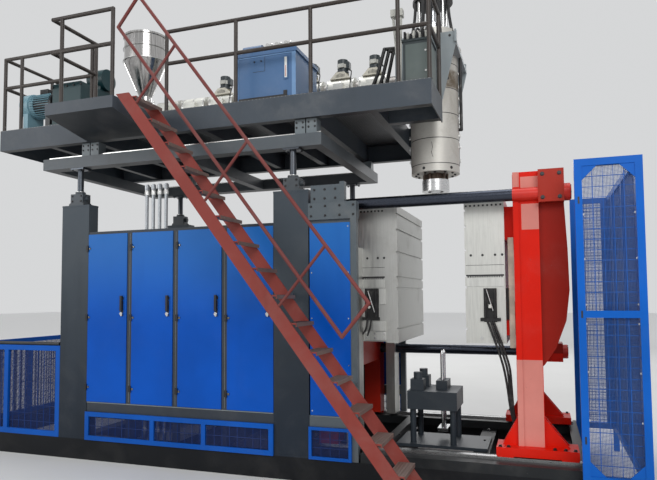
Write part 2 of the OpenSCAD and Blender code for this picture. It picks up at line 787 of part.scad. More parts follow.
// Blowing and calibration station in the pit, with bores for its pins
module blow_station() {
  plate_t = 30;
  leg_d = 64;
  color([0.27, 0.32, 0.37]) difference() {
    union() {
      box(bed_x0 + 170, 2700, station_y - 290, station_y + 290, skid_top, skid_top + plate_t);
      for (sx = [-1, 1]) for (sy = [-1, 1]) {
        z_cyl(station_x + sx * 210, station_y + sy * 210, skid_top + plate_t, station_z0, leg_d);
      }
      box(station_x - 260, station_x + 260, station_y - 270, station_y + 270, station_z0, station_z1);
      box(station_x - 230, station_x - 90, station_y - 240, station_y - 100, station_z1, station_z1 + 120);
      box(station_x - 230, station_x - 90, station_y + 100, station_y + 240, station_z1, station_z1 + 120);
      box(mould_x - 60, mould_x + 60, -pin_pitch / 2 - 60, pin_pitch / 2 + 60, station_z1, station_z1 + 90);
      z_cyl(station_x - 160, station_y - 170, station_z1 + 120, station_z1 + 190, 90);
      z_cyl(station_x - 160, station_y + 170, station_z1 + 120, station_z1 + 190, 90);
    }
    for (i = [0, 1]) z_cyl(mould_x, pin_y(i), station_z0 - 1, station_z1 + 100, pin_d + 2 * fit_gap);
  }
}

// Two blow pins on their crosshead
module blow_pins() {
  head_z0 = 350;
  head_t = 36;
  color([0.78, 0.79, 0.8]) {
    box(mould_x - 55, mould_x + 55, -pin_pitch / 2 - 50, pin_pitch / 2 + 50, head_z0, head_z0 + head_t);
    for (i = [0, 1]) {
      z_cyl(mould_x, pin_y(i), head_z0 + head_t - eps, 1180, pin_d);
      translate([mould_x, pin_y(i), 1180 - eps]) cylinder(d1 = pin_d, d2 = pin_d - 16, h = 30);
    }
  }
}

stair_y0 = landing_front_y;
stair_slope = tread_rise / tread_run;
stringer_drop = stringer_d / cos(atan(stair_slope));
stringer_below = 171;
stair_ties = [880, 1540];

// Lower edge of the stair's stringers at x
function stringer_low(x) = tread_z0 - stringer_below - stair_slope * (x - tread_x0);

// Place on a stringer's lower edge at height z
function stringer_low_x(z) = tread_x0 + (tread_z0 - stringer_below - z) / stair_slope;

// Two stringers with plate treads between them
module stair() {
  upper = stringer_drop / stair_slope;
  x_foot = stringer_low_x(0);
  x_head = stringer_low_x(deck_top);
  color([0.55, 0.24, 0.22]) {
    for (y = [stair_y0, stair_y0 + stair_w - stringer_t]) {
      translate([0, y + stringer_t, 0]) rotate([90, 0, 0]) linear_extrude(height = stringer_t) {
        polygon([[x_foot, 0], [x_foot + upper, 0], [x_head + upper, deck_top], [x_head, deck_top]]);
      }
    }
    for (k = [0:tread_count - 1]) {
      x = tread_x0 - k * tread_run;
      z = tread_z0 + k * tread_rise;
      box(x - tread_d / 2, x + tread_d / 2, stair_y0 + stringer_t - eps,
        stair_y0 + stair_w - stringer_t + eps, z - tread_t, z);
      box(x + tread_d / 2 - tread_t, x + tread_d / 2, stair_y0 + stringer_t - eps,
        stair_y0 + stair_w - stringer_t + eps, z - 34, z);
    }
    box(x_foot - 30, x_foot + upper + 40, stair_y0, stair_y0 + stair_w, 0, 10);
  }
}

rail_lean = 441;
rail_rise = 527;
rail_mid = 0.457;
rail_base_x = [-905, 1435];
rail_post_x = [-477, 299, 1051];

// A point beside the stair: on the stringer's upper edge at x, moved out by a share of the rail's lean
function rail_point(x, share) =
  [x + share * rail_lean, stair_y0 + stringer_t / 2, stringer_low(x) + stringer_drop + share * rail_rise];

// Tube handrail on the near stringer
module stair_handrail() {
  a = rail_base_x[0];
  b = rail_base_x[1];
  corners = [rail_point(a, rail_mid), rail_point(a, 1), rail_point(b, 1), rail_point(b, rail_mid)];
  color([0.5, 0.26, 0.24]) {
    for (i = [0:3]) {
      rod(corners[i], corners[(i + 1) % 4], stair_rail_d);
      translate(corners[i]) sphere(d = stair_rail_d + 2);
    }
    for (x = rail_post_x) rod(rail_point(x, 0.005), rail_point(x, 1), stair_rail_d - 6);
  }
}

// Lift frame: two long beams on the jacks and the cross beams between them
module lift_beams() {
  wall = 10;
  y0 = -base_w / 2;
  y1 = y0 + column_d;
  cross_w = 110;
  color([0.36, 0.41, 0.45]) {
    both_sides() difference() {
      box(lift_x0, lift_x1, y0, y1, lift_z0, lift_z1);
      box(lift_x0 + wall, lift_x1 - wall, y0 + wall, y1 - wall, lift_z0 + wall, lift_z1 - wall);
    }
    for (x = [lift_x0, -520, lift_x1 - cross_w]) y_tube(x, x + cross_w, y1, -y1, lift_z0, lift_z1, wall);
  }
}

// Ground slide rails on the lift beams
module slide_rails() {
  color([0.82, 0.83, 0.82]) both_sides() {
    box(lift_x0 + 40, lift_x1 - 20, -column_y - slide_rail_w / 2, -column_y + slide_rail_w / 2,
      lift_z1, slide_rail_z1);
  }
}

// Four jack screws with the flanges that carry the lift beams
module jack_screws() {
  flange_t = 20;
  color([0.5, 0.52, 0.52]) both_sides() for (x = column_x) {
    z_cyl(x, -column_y, jack_top_z - jack_screw_below, lift_z0 - flange_t + eps, jack_screw_d);
    box(x - 90, x + 90, -column_y - column_d / 2 + 6, -column_y + column_d / 2 - 6,
      lift_z0 - flange_t, lift_z0);
  }
}

arm_x0 = 1700;
arm_y1 = 490;
arm_w = 90;
rear_x1 = 2100;

// A channel along X with its web at y_web and flanges towards the middle
module x_channel(x0, x1, y_web, side, z0, z1) {
  ya = y_web;
  yb = y_web + side * deck_flange_w;
  y_lo = min(ya, yb);
  y_hi = max(ya, yb);
  w_lo = side > 0 ? ya : ya - deck_wall;
  box(x0, x1, w_lo, w_lo + deck_wall, z0, z1);
  box(x0, x1, y_lo, y_hi, z0, z0 + deck_wall);
  box(x0, x1, y_lo, y_hi, z1 - deck_wall, z1);
}

// Edge channels, cross beams and the two arms that hold the head
module platform_frame() {
  yf = deck_front_y;
  cross_w = 80;
  color([0.37, 0.41, 0.46]) {
    x_channel(deck_x0, deck_x1, yf, 1, deck_z0, deck_top);
    x_channel(deck_x0, rear_x1, -yf, -1, deck_z0, deck_top);
    box(deck_x0, deck_x0 + deck_wall, yf, -yf, deck_z0, deck_top);
    box(deck_x1 - deck_wall, deck_x1, yf, -arm_y1, deck_z0, deck_top);
    box(rear_x1 - deck_wall, rear_x1, arm_y1, -yf, deck_z0, deck_top);
    box(deck_x1 - deck_wall, deck_x1, arm_y1, arm_y1 + arm_w, deck_z0 + 20, deck_top);
    for (x = [-2300, -1630 - cross_w / 2, -940, -240, 420, 1044 - cross_w / 2, arm_x0]) {
      y_tube(x, x + cross_w, yf + deck_wall - eps, -yf - deck_wall + eps, deck_z0 + 20, deck_top, 8);
    }
    both_sides() {
      x_tube(arm_x0 + cross_w - eps, deck_x1, -arm_y1 - arm_w, -arm_y1, deck_z0 + 20, deck_top, 10);
    }
  }
}

// Chequer plate that people walk on
module deck_plate() {
  yf = deck_front_y;
  color([0.3, 0.32, 0.34]) {
    box(deck_x0, arm_x0 + 60, yf, -yf, deck_top, deck_z);
    box(arm_x0, deck_x1, yf, -arm_y1, deck_top, deck_z);
    box(arm_x0, rear_x1, arm_y1, -yf, deck_top, deck_z);
  }
}

// Landing at the head of the stair, on wedge brackets
module landing() {
  wall = 6;
  yf = landing_front_y;
  yb = deck_front_y;
  z0 = deck_top - landing_h;
  color([0.37, 0.41, 0.46]) difference() {
    translate([landing_x0, 0, 0]) rotate([90, 0, 90]) linear_extrude(height = landing_x1 - landing_x0) {
      polygon([[yf, deck_top], [yf, z0], [yb, deck_z0], [yb, deck_top]]);
    }
    translate([landing_x0 + wall, 0, 0]) rotate([90, 0, 90]) {
      linear_extrude(height = landing_x1 - landing_x0 - 2 * wall) {
        polygon([[yf + wall, deck_top - wall], [yf + wall, z0 + wall + 2], [yb - wall, deck_z0 + wall + 2],
          [yb - wall, deck_top - wall]]);
      }
    }
  }
}

hand_y = deck_front_y + rail_inset;
top_z = deck_top + handrail_h;
mid_z = deck_top + midrail_h;

// Handrail posts that stand on the platform's front edge
front_posts = [deck_x0 + rail_inset, -2646, -1600, -1545, -589, 265, 1110, 2011, deck_x1 - 20];
rear_posts = [-1900, -900, 100, 1100, rear_x1 - 30];

// A run of top and middle rail between two points of the plan
module rails(p, q) {
  for (z = [mid_z, top_z]) {
    rod([p[0], p[1], z], [q[0], q[1], z], handrail_d);
    translate([p[0], p[1], z]) sphere(d = handrail_d + 2);
    translate([q[0], q[1], z]) sphere(d = handrail_d + 2);
  }
}

// Handrails of the platform and of its landing
module platform_handrail() {
  x_left = deck_x0 + rail_inset;
  x_right = deck_x1 - 20;
  y_land = landing_front_y + 20;
  y_side = -arm_y1 - arm_w / 2;
  color([0.13, 0.11, 0.1]) {
    for (x = front_posts) z_cyl(x, hand_y, deck_z, top_z, handrail_d);
    for (x = rear_posts) z_cyl(x, -hand_y, deck_z, top_z, handrail_d);
    for (y = [-380, 380, -hand_y]) z_cyl(x_left, y, deck_z, top_z, handrail_d);
    z_cyl(x_right, y_side, deck_z, top_z, handrail_d);
    z_cyl(-1425, y_land, deck_top, top_z, handrail_d);
    z_cyl(landing_x1 - 21, y_land, deck_top, top_z, handrail_d);
    rails([x_left, hand_y], [-1545, hand_y]);
    rails([x_left, hand_y], [x_left, -hand_y]);
    rails([-1545, hand_y], [-1545, y_land]);
    rails([-1545, y_land], [landing_x1 - 21, y_land]);
    rails([-589, hand_y], [x_right, hand_y]);
    rails([x_right, hand_y], [x_right, y_side]);
    rails([x_left, -hand_y], [rear_posts[4], -hand_y]);
  }
}

block_centres = [-1629, 1044];

// Slide blocks in pairs, grooved for the slide rails
module slide_blocks() {
  gap = 14;
  groove = 0.3;
  color([0.45, 0.48, 0.5]) both_sides() for (c = block_centres) for (s = [-1, 1]) {
    x0 = c + s * (slide_block_l + gap) / 2 - slide_block_l / 2;
    difference() {
      box(x0, x0 + slide_block_l, -column_y - 62, -column_y + 62, lift_z1 + 3, deck_z0);
      box(x0 - 1, x0 + slide_block_l + 1, -column_y - slide_rail_w / 2 - groove,
        -column_y + slide_rail_w / 2 + groove, lift_z1, slide_rail_z1 + groove);
    }
  }
}

motor_y = deck_front_y + 260;
motor_z = extruder_z - 40;
motor_x0 = -2760;
gearbox_x0 = barrel_x0 - gearbox_l;

// Drive motor at the platform's left end, on its base frame
module drive_motor() {
  x1 = motor_x0 + motor_l;
  color([0.45, 0.62, 0.7]) {
    x_cyl(motor_x0, motor_x0 + 190, motor_y, motor_z, motor_d);
    for (x = [motor_x0 + 40, x1 - 120]) {
      box(x, x + 70, motor_y - 125, motor_y + 125, deck_z, motor_z - motor_d / 2 + 30);
    }
  }
  color([0.09, 0.12, 0.14]) {
    x_cyl(motor_x0 + 190 - eps, x1 - 40, motor_y, motor_z, motor_d - 12);
    x_cyl(x1 - 40 - eps, x1, motor_y, motor_z, motor_d - 90);
    x_cyl(x1 - eps, gearbox_x0, motor_y, motor_z, 60);
    box(motor_x0 + 230, motor_x0 + 350, motor_y - 60, motor_y + 60,
      motor_z + 110, motor_z + motor_d / 2 + 50);
  }
}

// Cross reduction gearbox with its lubrication unit, bored for the screw's shank
module gearbox() {
  shank_d = 80;
  top_z = deck_z + 531;
  lub_z = top_z + 153;
  lub_y = deck_front_y + 560;
  color([0.08, 0.28, 0.3]) difference() {
    union() {
      box(gearbox_x0, barrel_x0, deck_front_y + 110, 250, deck_z, top_z);
      box(gearbox_x0 - 24, barrel_x0, deck_front_y + 90, 270, deck_z, deck_z + 40);
      x_cyl(gearbox_x0 + 220, barrel_x0 + 32, lub_y, lub_z, 265);
      box(gearbox_x0 + 250, barrel_x0 - 18, lub_y - 90, lub_y + 90, top_z - eps, lub_z - 90);
    }
    x_cyl(gearbox_x0 + 120, barrel_x0 + 1, extruder_y, extruder_z, shank_d + 2 * fit_gap);
  }
}

zone_pitch = 393;
zone_l = 330;
zone_d = 290;
barrel_x1 = 1800;
barrel_flange_d = 300;

// Middle of heater zone k, counted from the first zone with a blower
function zone_x(k) = -480 + zone_pitch * k;

// Extruder barrel with its feed housing, end flanges and stands
module barrel() {
  feed_w = 200;
  color([0.5, 0.51, 0.52]) difference() {
    union() {
      x_cyl(barrel_x0, barrel_x1, extruder_y, extruder_z, barrel_d);
      x_cyl(barrel_x0, barrel_x0 + 36, extruder_y, extruder_z, barrel_flange_d);
      x_cyl(barrel_x1 - 40, barrel_x1, extruder_y, extruder_z, barrel_flange_d);
      box(hopper_x - feed_w / 2, hopper_x + feed_w / 2, extruder_y - 130, extruder_y + 130,
        extruder_z - 130, hopper_cone_z - 90);
      for (k = [0, 3, 6]) {
        x = zone_x(k) - zone_pitch / 2;
        box(x - 20, x + 20, extruder_y - 80, extruder_y + 80, deck_z, extruder_z - barrel_d / 4);
      }
      box(hopper_x - 60, hopper_x + 60, extruder_y - 100, extruder_y + 100, deck_z, extruder_z - 130 + eps);
    }
    x_cyl(barrel_x0 - 1, barrel_x1 + 1, extruder_y, extruder_z, screw_d + 2 * fit_gap);
    z_cyl(hopper_x, extruder_y, extruder_z, hopper_cone_z, 110);
  }
}

// Heater shells around the barrel, one to a zone
module heater_bands() {
  color([0.72, 0.73, 0.72]) for (k = [-2:5]) difference() {
    union() {
      x_cyl(zone_x(k) - zone_l / 2, zone_x(k) + zone_l / 2, extruder_y, extruder_z, zone_d);
      box(zone_x(k) - 60, zone_x(k) + 60, extruder_y - zone_d / 2 - 50, extruder_y - 100,
        extruder_z - 40, extruder_z + 40);
    }
    x_cyl(zone_x(k) - zone_l, zone_x(k) + zone_l, extruder_y, extruder_z, barrel_d);
  }
}

// Cooling blowers on their pale cowls over the heater zones
module barrel_blowers() {
  cowl_z0 = extruder_z + zone_d / 2 - 20;
  cowl_z1 = extruder_z + 205;
  motor_top = extruder_z + 375;
  for (k = [0:5]) {
    x = zone_x(k);
    color([0.86, 0.85, 0.8]) difference() {
      translate([x, extruder_y + 110, 0]) rotate([90, 0, 0]) linear_extrude(height = 220) {
        polygon([[-125, cowl_z0], [125, cowl_z0], [50, cowl_z1], [-50, cowl_z1]]);
      }
      x_cyl(x - 200, x + 200, extruder_y, extruder_z, zone_d);
    }
    color([0.1, 0.1, 0.11]) {
      z_cyl(x, extruder_y, cowl_z1, cowl_z1 + 30, 150);
      z_cyl(x, extruder_y, cowl_z1 + 30 - eps, motor_top, 126);
      box(x + 40, x + 90, extruder_y - 40, extruder_y + 40, cowl_z1 + 60, motor_top - 30);
    }
  }
}

screw_root_d = 78;
flight_pitch = 120;

// Plasticising screw: shank, bearing land and core, with its flights as tilted discs
module extruder_screw() {
  x1 = barrel_x1 - 40;
  color([0.7, 0.71, 0.72]) {
    x_cyl(gearbox_x0 + 140, barrel_x0 + eps, extruder_y, extruder_z, 80);
    x_cyl(barrel_x0, barrel_x0 + 30, extruder_y, extruder_z, screw_d);
    x_cyl(barrel_x0, x1, extruder_y, extruder_z, screw_root_d);
    for (x = [barrel_x0 + 90:flight_pitch:x1 - 60]) {
      translate([x, extruder_y, extruder_z]) rotate([0, 78, 0]) {
        translate([0, 0, -6]) cylinder(d = screw_d - 1, h = 12);
      }
    }
    translate([x1 - eps, extruder_y, extruder_z]) rotate([0, 90, 0]) {
      cylinder(d1 = screw_root_d, d2 = 10, h = 36);
    }
  }
}

// Stainless hopper: flanged throat, cone and straight shell with a rim, open at its top
module hopper() {
  throat_d = 160;
  cone_top_z = hopper_top_z - hopper_cyl_h;
  flange_z = hopper_cone_z - 90;
  r = hopper_d / 2;
  color([0.75, 0.75, 0.75]) {
    translate([hopper_x, extruder_y, 0]) rotate_extrude() {
      polygon([[throat_d / 2 - hopper_wall, flange_z], [throat_d / 2 + 20, flange_z],
        [throat_d / 2 + 20, flange_z + 16], [throat_d / 2, flange_z + 16], [throat_d / 2, hopper_cone_z],
        [r, cone_top_z], [r, hopper_top_z - 24], [r + 14, hopper_top_z - 24], [r + 14, hopper_top_z],
        [r - hopper_wall, hopper_top_z], [r - hopper_wall, cone_top_z],
        [throat_d / 2 - hopper_wall, hopper_cone_z]]);
    }
  }
}

unit_x0 = 180;
unit_x1 = 880;
unit_y0 = deck_front_y + 200;
unit_y1 = unit_y0 + 630;
unit_z0 = deck_z + 60;
unit_z1 = deck_z + 541;
lid_z1 = unit_z1 + 40;

// Blue hydraulic power unit on the platform: tank on feet with its lid
module power_unit() {
  wall = 6;
  color([0.25, 0.45, 0.72]) {
    difference() {
      box(unit_x0, unit_x1, unit_y0, unit_y1, unit_z0, unit_z1);
      box(unit_x0 + wall, unit_x1 - wall, unit_y0 + wall, unit_y1 - wall, unit_z0 + wall, unit_z1 - wall);
    }
    for (x = [unit_x0 + 20, unit_x1 - 80]) box(x, x + 60, unit_y0 + 20, unit_y1 - 20, deck_z, unit_z0);
    box(unit_x0 - 15, unit_x1 + 15, unit_y0 - 15, unit_y1 + 15, unit_z1, lid_z1);
    box(unit_x1 - 130, unit_x1 - 90, unit_y0 - 12, unit_y0, unit_z0 + 190, unit_z1 - 40);
  }
}

// Valves, filter and small pump motor on the power unit's lid
module valve_block() {
  color([0.2, 0.36, 0.62]) {
    x_cyl(unit_x0 + 30, unit_x0 + 250, unit_y0 + 150, lid_z1 + 75, 130);
    box(unit_x0 + 60, unit_x0 + 220, unit_y0 + 100, unit_y0 + 200, lid_z1, lid_z1 + 30);
    box(unit_x0 + 300, unit_x0 + 640, unit_y0 + 70, unit_y0 + 190, lid_z1, lid_z1 + 50);
  }
  color([0.75, 0.77, 0.8]) {
    for (i = [0:2]) {
      box(unit_x0 + 320 + i * 108, unit_x0 + 385 + i * 108, unit_y0 + 80, unit_y0 + 180,
        lid_z1 + 50 - eps, lid_z1 + 110);
      y_cyl(unit_x0 + 352 + i * 108, unit_y0 + 40, unit_y0 + 220, lid_z1 + 82, 44);
    }
    z_cyl(unit_x0 + 470, unit_y0 + 380, lid_z1, lid_z1 + 150, 110);
  }
}

// Switch box on the front arm, and the splayed stand with small terminal boxes beside it
module control_box() {
  y0 = deck_front_y + 160;
  z1 = deck_z + 441;
  foot = [1998, y0];
  color([0.24, 0.29, 0.29]) {
    box(2030, 2300, y0, y0 + 310, deck_z, z1);
    box(2020, 2310, y0 - 10, y0 + 320, z1 - eps, z1 + 22);
  }
  color([0.8, 0.8, 0.76]) {
    for (dx = [-62, 18]) {
      rod([foot[0], foot[1], deck_z + 10], [foot[0] + dx, foot[1], z1 + 270], 26);
      translate([foot[0] + dx, foot[1], z1 + 270]) sphere(d = 26);
    }
    box(foot[0] - 30, foot[0] + 24, foot[1] - 30, foot[1] + 30, deck_z, deck_z + 16);
    box(foot[0] - 80, foot[0] + 40, foot[1] - 40, foot[1] + 40, z1 + 260, z1 + 330);
  }
}

bracket_y = arm_y1;
bracket_t = 20;
ring_plate_z = head_z1 - 295;

// Tapered side plates on the two arms and the ring plate that the head rests in
module head_bracket() {
  x0 = 1840;
  color([0.62, 0.66, 0.68]) {
    both_sides() translate([0, -bracket_y + bracket_t, 0]) rotate([90, 0, 0]) {
      linear_extrude(height = bracket_t) {
        polygon([[x0, deck_z0 + 30], [2292, deck_z0 + 30], [2330, deck_z], [2480, ring_plate_z],
          [2480, ring_plate_z + 109], [x0, ring_plate_z + 109]]);
      }
    }
    difference() {
      box(x0, 2480, -bracket_y + bracket_t - eps, bracket_y - bracket_t + eps,
        ring_plate_z, ring_plate_z + 40);
      z_cyl(head_x, 0, ring_plate_z - 1, ring_plate_z + 41, head_d);
    }
    box(2470, 2490, -bracket_y - 30, -bracket_y + bracket_t, ring_plate_z - 10, ring_plate_z + 119);
  }
}

melt_d = 260;
shaft_d = 60;
ram_rod_d = 50;
ram_rod_r = 90;
neck_d = 220;
chamber_z0 = head_z0 + 407;
chamber_z1 = head_z1 - 240;

// Accumulator head: body with its melt chamber, flow channel, inlet neck and seating flange
module head_body() {
  color([0.72, 0.7, 0.66]) difference() {
    union() {
      z_cyl(head_x, 0, head_z0, head_z1, head_d);
      z_cyl(head_x, 0, ring_plate_z + 40, ring_plate_z + 100, head_d + 80);
      x_cyl(barrel_x1, head_x, 0, extruder_z, neck_d);
      x_cyl(barrel_x1, barrel_x1 + 36, 0, extruder_z, barrel_flange_d);
      box(head_x - head_d / 2 - 50, head_x - 100, -150, 150, ring_plate_z + 120, ring_plate_z + 250);
    }
    z_cyl(head_x, 0, chamber_z0, chamber_z1, melt_d);
    z_cyl(head_x, 0, head_z0 - 1, chamber_z0 + 1, 170);
    z_cyl(head_x, 0, chamber_z1 - 1, head_z1 + 1, shaft_d + 2 * fit_gap);
    x_cyl(barrel_x1 - 1, head_x, 0, extruder_z, screw_d);
    for (s = [-1, 1]) z_cyl(head_x, s * ram_rod_r, chamber_z1 - 1, head_z1 + 1, ram_rod_d + 2 * fit_gap);
  }
}

// Die ring under the head, hung on its ring of bolts around the neck
module die_ring() {
  bore_d = 170;
  ring_z1 = die_z0 + die_h;
  color([0.78, 0.79, 0.8]) {
    difference() {
      union() {
        z_cyl(head_x, 0, die_z0, ring_z1, die_d);
        z_cyl(head_x, 0, ring_z1 - eps, head_z0, 220);
      }
      z_cyl(head_x, 0, die_z0 - 1, head_z0 + 1, bore_d);
    }
    for (i = [0:9]) {
      translate([head_x, 0, 0]) rotate([0, 0, 36 * i]) translate([130, 0, ring_z1 - eps]) {
        cylinder(d = 22, h = head_z0 - ring_z1 + eps);
      }
    }
  }
}

tie_rod_r = 185;
top_plate_z = head_top_z - 290;
crosshead_z = head_z1 + 50;
crosshead_t = 50;

// Tie rods, top plate and the hydraulic cylinder over the head
module head_cylinder() {
  color([0.82, 0.83, 0.85]) for (i = [0:3]) {
    translate([head_x, 0, 0]) rotate([0, 0, 45 + 90 * i]) {
      translate([tie_rod_r, 0, head_z1]) cylinder(d = 36, h = head_top_z - head_z1);
    }
  }
  color([0.07, 0.07, 0.08]) difference() {
    union() {
      difference() {
        z_cyl(head_x, 0, top_plate_z, top_plate_z + 36, 450);
        for (i = [0:3]) translate([head_x, 0, 0]) rotate([0, 0, 45 + 90 * i]) {
          translate([tie_rod_r, 0, top_plate_z - 1]) cylinder(d = 36, h = 40);
        }
      }
      z_cyl(head_x, 0, top_plate_z + 36 - eps, head_top_z - 20, ram_cylinder_d);
    }
    z_cyl(head_x, 0, top_plate_z + 40, head_top_z - 34, 130);
    z_cyl(head_x, 0, top_plate_z - 1, top_plate_z + 41, 70 + 2 * fit_gap);
  }
}

// Ram: piston in the melt chamber, two rods through the head's top, crosshead and piston rod
module head_ram() {
  piston_z = chamber_z0 + 520;
  color([0.66, 0.68, 0.7]) difference() {
    union() {
      z_cyl(head_x, 0, piston_z, piston_z + 130, melt_d - 2 * fit_gap);
      for (s = [-1, 1]) z_cyl(head_x, s * ram_rod_r, piston_z + 130 - eps, crosshead_z + eps, ram_rod_d);
      z_cyl(head_x, 0, crosshead_z, crosshead_z + crosshead_t, 300);
      z_cyl(head_x, 0, crosshead_z + crosshead_t - eps, top_plate_z + 60, 70);
    }
    z_cyl(head_x, 0, piston_z - 1, piston_z + 131, shaft_d + 2 * fit_gap);
  }
}

// Die mandrel on its long shaft, guided in the head's top
module die_mandrel() {
  cone_z = die_z0 + 60;
  color([0.8, 0.81, 0.82]) {
    z_cyl(head_x, 0, die_z0, cone_z, mandrel_d);
    translate([head_x, 0, cone_z - eps]) cylinder(d1 = mandrel_d, d2 = shaft_d, h = 60);
    z_cyl(head_x, 0, cone_z + 60 - 2 * eps, head_z1 + 20, shaft_d);
  }
}

// A bent pipe through a list of points
module bent_pipe(points, d) {
  for (i = [0:len(points) - 2]) {
    rod(points[i], points[i + 1], d);
    if (i > 0) translate(points[i]) sphere(d = d + 2);
  }
}

// Black oil pipes to the head's manifold, and the one down its right side
module head_hoses() {
  manifold_x = head_x - head_d / 2 - 50;
  color([0.04, 0.04, 0.05]) {
    for (i = [0:2]) {
      y = -360 + 75 * i;
      y1 = -100 + 75 * i;
      x = 1500 + 60 * i;
      bent_pipe([[x, y, deck_z], [x, y, deck_z + 151], [1610 + 40 * i, y, deck_z + 401],
        [1690 + 30 * i, y, deck_z + 671], [1770, y1, deck_z + 776], [manifold_x, y1, deck_z + 776]], 40);
    }
    bent_pipe([[2465, 0, ring_plate_z], [2465, 0, head_z0 + 487],
      [head_x + head_d / 2 + 0.3, 0, head_z0 + 487]], 34);
  }
}

slot_zs = [1480, 1885, 1995, 2250, 2480, 2640];

// Horizontal slots across a platen's face at x
module platen_slots(x) {
  for (z = slot_zs) {
    box(x - slot_d, x + slot_d, -platen_w / 2 - 1, platen_w / 2 + 1, z - slot_w / 2, z + slot_w / 2);
  }
}

leg_x1 = 1510;
leg_y0 = -rail_y - 15;

// Slide shoe of the clamp on the near rail, with a lip behind the rail
module shoe(x0, x1) {
  difference() {
    box(x0, x1, -rail_y - rail_w / 2, -rail_y + rail_w / 2 + 30, rail_top - 17, rail_top + foot_clear);
    box(x0 - 1, x1 + 1, -rail_y - rail_w, -rail_y + rail_w / 2 + 0.3, rail_top - 30, rail_top);
  }
}

// Left platen: face plate and block on two legs with slide shoes
module platen_left() {
  color([0.62, 0.63, 0.62]) difference() {
    union() {
      box(platen_back_x, platen_left_x - platen_plate_t, -platen_w / 2, platen_w / 2, platen_z0, platen_z1);
      box(platen_left_x - platen_plate_t - eps, platen_left_x, -platen_w / 2, platen_w / 2,
        platen_z0 - 12, platen_z1 - 30);
      both_sides() {
        box(platen_back_x, leg_x1, leg_y0, -platen_w / 2 + eps, rail_top + foot_clear, 2300);
        shoe(platen_back_x, leg_x1);
      }
    }
    platen_slots(platen_left_x);
    x_cyl(platen_back_x - 1, leg_x1 + 1, tie_lower_y, tie_lower_z, tie_d + 6);
  }
}

chamber_d = 260;
chamber_x0 = yoke_left_x0 - cylinder_l + 14;

// Clamp piston and its rod, fixed to the left platen's back
module clamp_rod() {
  color([0.8, 0.81, 0.82]) {
    x_cyl(chamber_x0 + 10, chamber_x0 + 60, 0, clamp_z, chamber_d - 2 * fit_gap);
    x_cyl(chamber_x0 + 60 - eps, platen_back_x, 0, clamp_z, clamp_rod_d);
  }
}

// Right platen, a solid block with slots
module platen_right() {
  color([0.68, 0.69, 0.67]) difference() {
    box(platen_right_x, platen_right_x + platen_right_t, -platen_w / 2, platen_w / 2, platen_z0, platen_z1);
    platen_slots(platen_right_x);
  }
}

clamp_z = 1940;
yoke_x1 = yoke_x0 + yoke_col_w;
foot_x0 = base_l / 2 - 772;

// Outline of a red side frame's rib, right of its column
module rib_profile() {
  polygon([[yoke_x1 - 1, 2945], [3462, 2880], [3465, 2690], [3487, 2220], [3494, 1848], [3460, 1571],
    [3367, 1321], [3267, 1170], [yoke_x1 - 1, 1150]]);
}

// Red right frame of the clamp: two side columns on feet, ribs, cross beams and nut blocks
module yoke_right() {
  yf = -yoke_front_y;
  yb = yf + yoke_col_d;
  foot_z0 = rail_top + foot_clear;
  foot_x1 = foot_x0 + foot_l;
  block_x1 = tie_x1 - 61;
  foot_z1 = foot_z0 + foot_h - 1;
  color([0.85, 0.13, 0.05]) difference() {
    union() {
      both_sides() {
        box(yoke_x0, yoke_x1, yf, yb, foot_z0, yoke_top_z);
        box(yoke_x0, yoke_x0 + 48, yf - 12, yb, foot_z0 + foot_h, yoke_top_z);
        translate([0, yf + 60, 0]) rotate([90, 0, 0]) linear_extrude(height = 36) rib_profile();
        box(foot_x0, foot_x1, leg_y0 - 15, yb + 20, foot_z0, foot_z0 + foot_h);
        shoe(foot_x0 + 10, foot_x0 + 150);
        shoe(foot_x1 - 150, foot_x1 - 10);
        for (y = [yf + 56, yb - 30]) translate([0, y, 0]) rotate([90, 0, 0]) linear_extrude(height = 26) {
          polygon([[yoke_x0 + 1, 690], [foot_x0 + 50, foot_z1], [yoke_x0 + 1, foot_z1]]);
          polygon([[yoke_x1 - 1, 690], [foot_x1 - 70, foot_z1], [yoke_x1 - 1, foot_z1]]);
        }
      }
      for (z = [1420, 2340]) {
        box(platen_right_x + platen_right_t, yoke_x1 - 10, yb - 1, -yb + 1, z, z + 320);
      }
      box(yoke_x1 - eps, block_x1, -tie_y - 70, yb, tie_upper_z - 88, yoke_top_z - 1);
      box(yoke_x1 - eps, block_x1, -yb, tie_lower_y + 100, tie_lower_z - 105, tie_lower_z + 105);
    }
    both_sides() box(yoke_x0 + 20, yoke_x1 - 20, yf + 72, yb - 20, 760, 1020);
    x_cyl(yoke_x0 - 1, block_x1 + 1, -tie_y, tie_upper_z, tie_d);
    x_cyl(yoke_x0 - 1, block_x1 + 1, tie_lower_y, tie_lower_z, tie_d);
  }
}

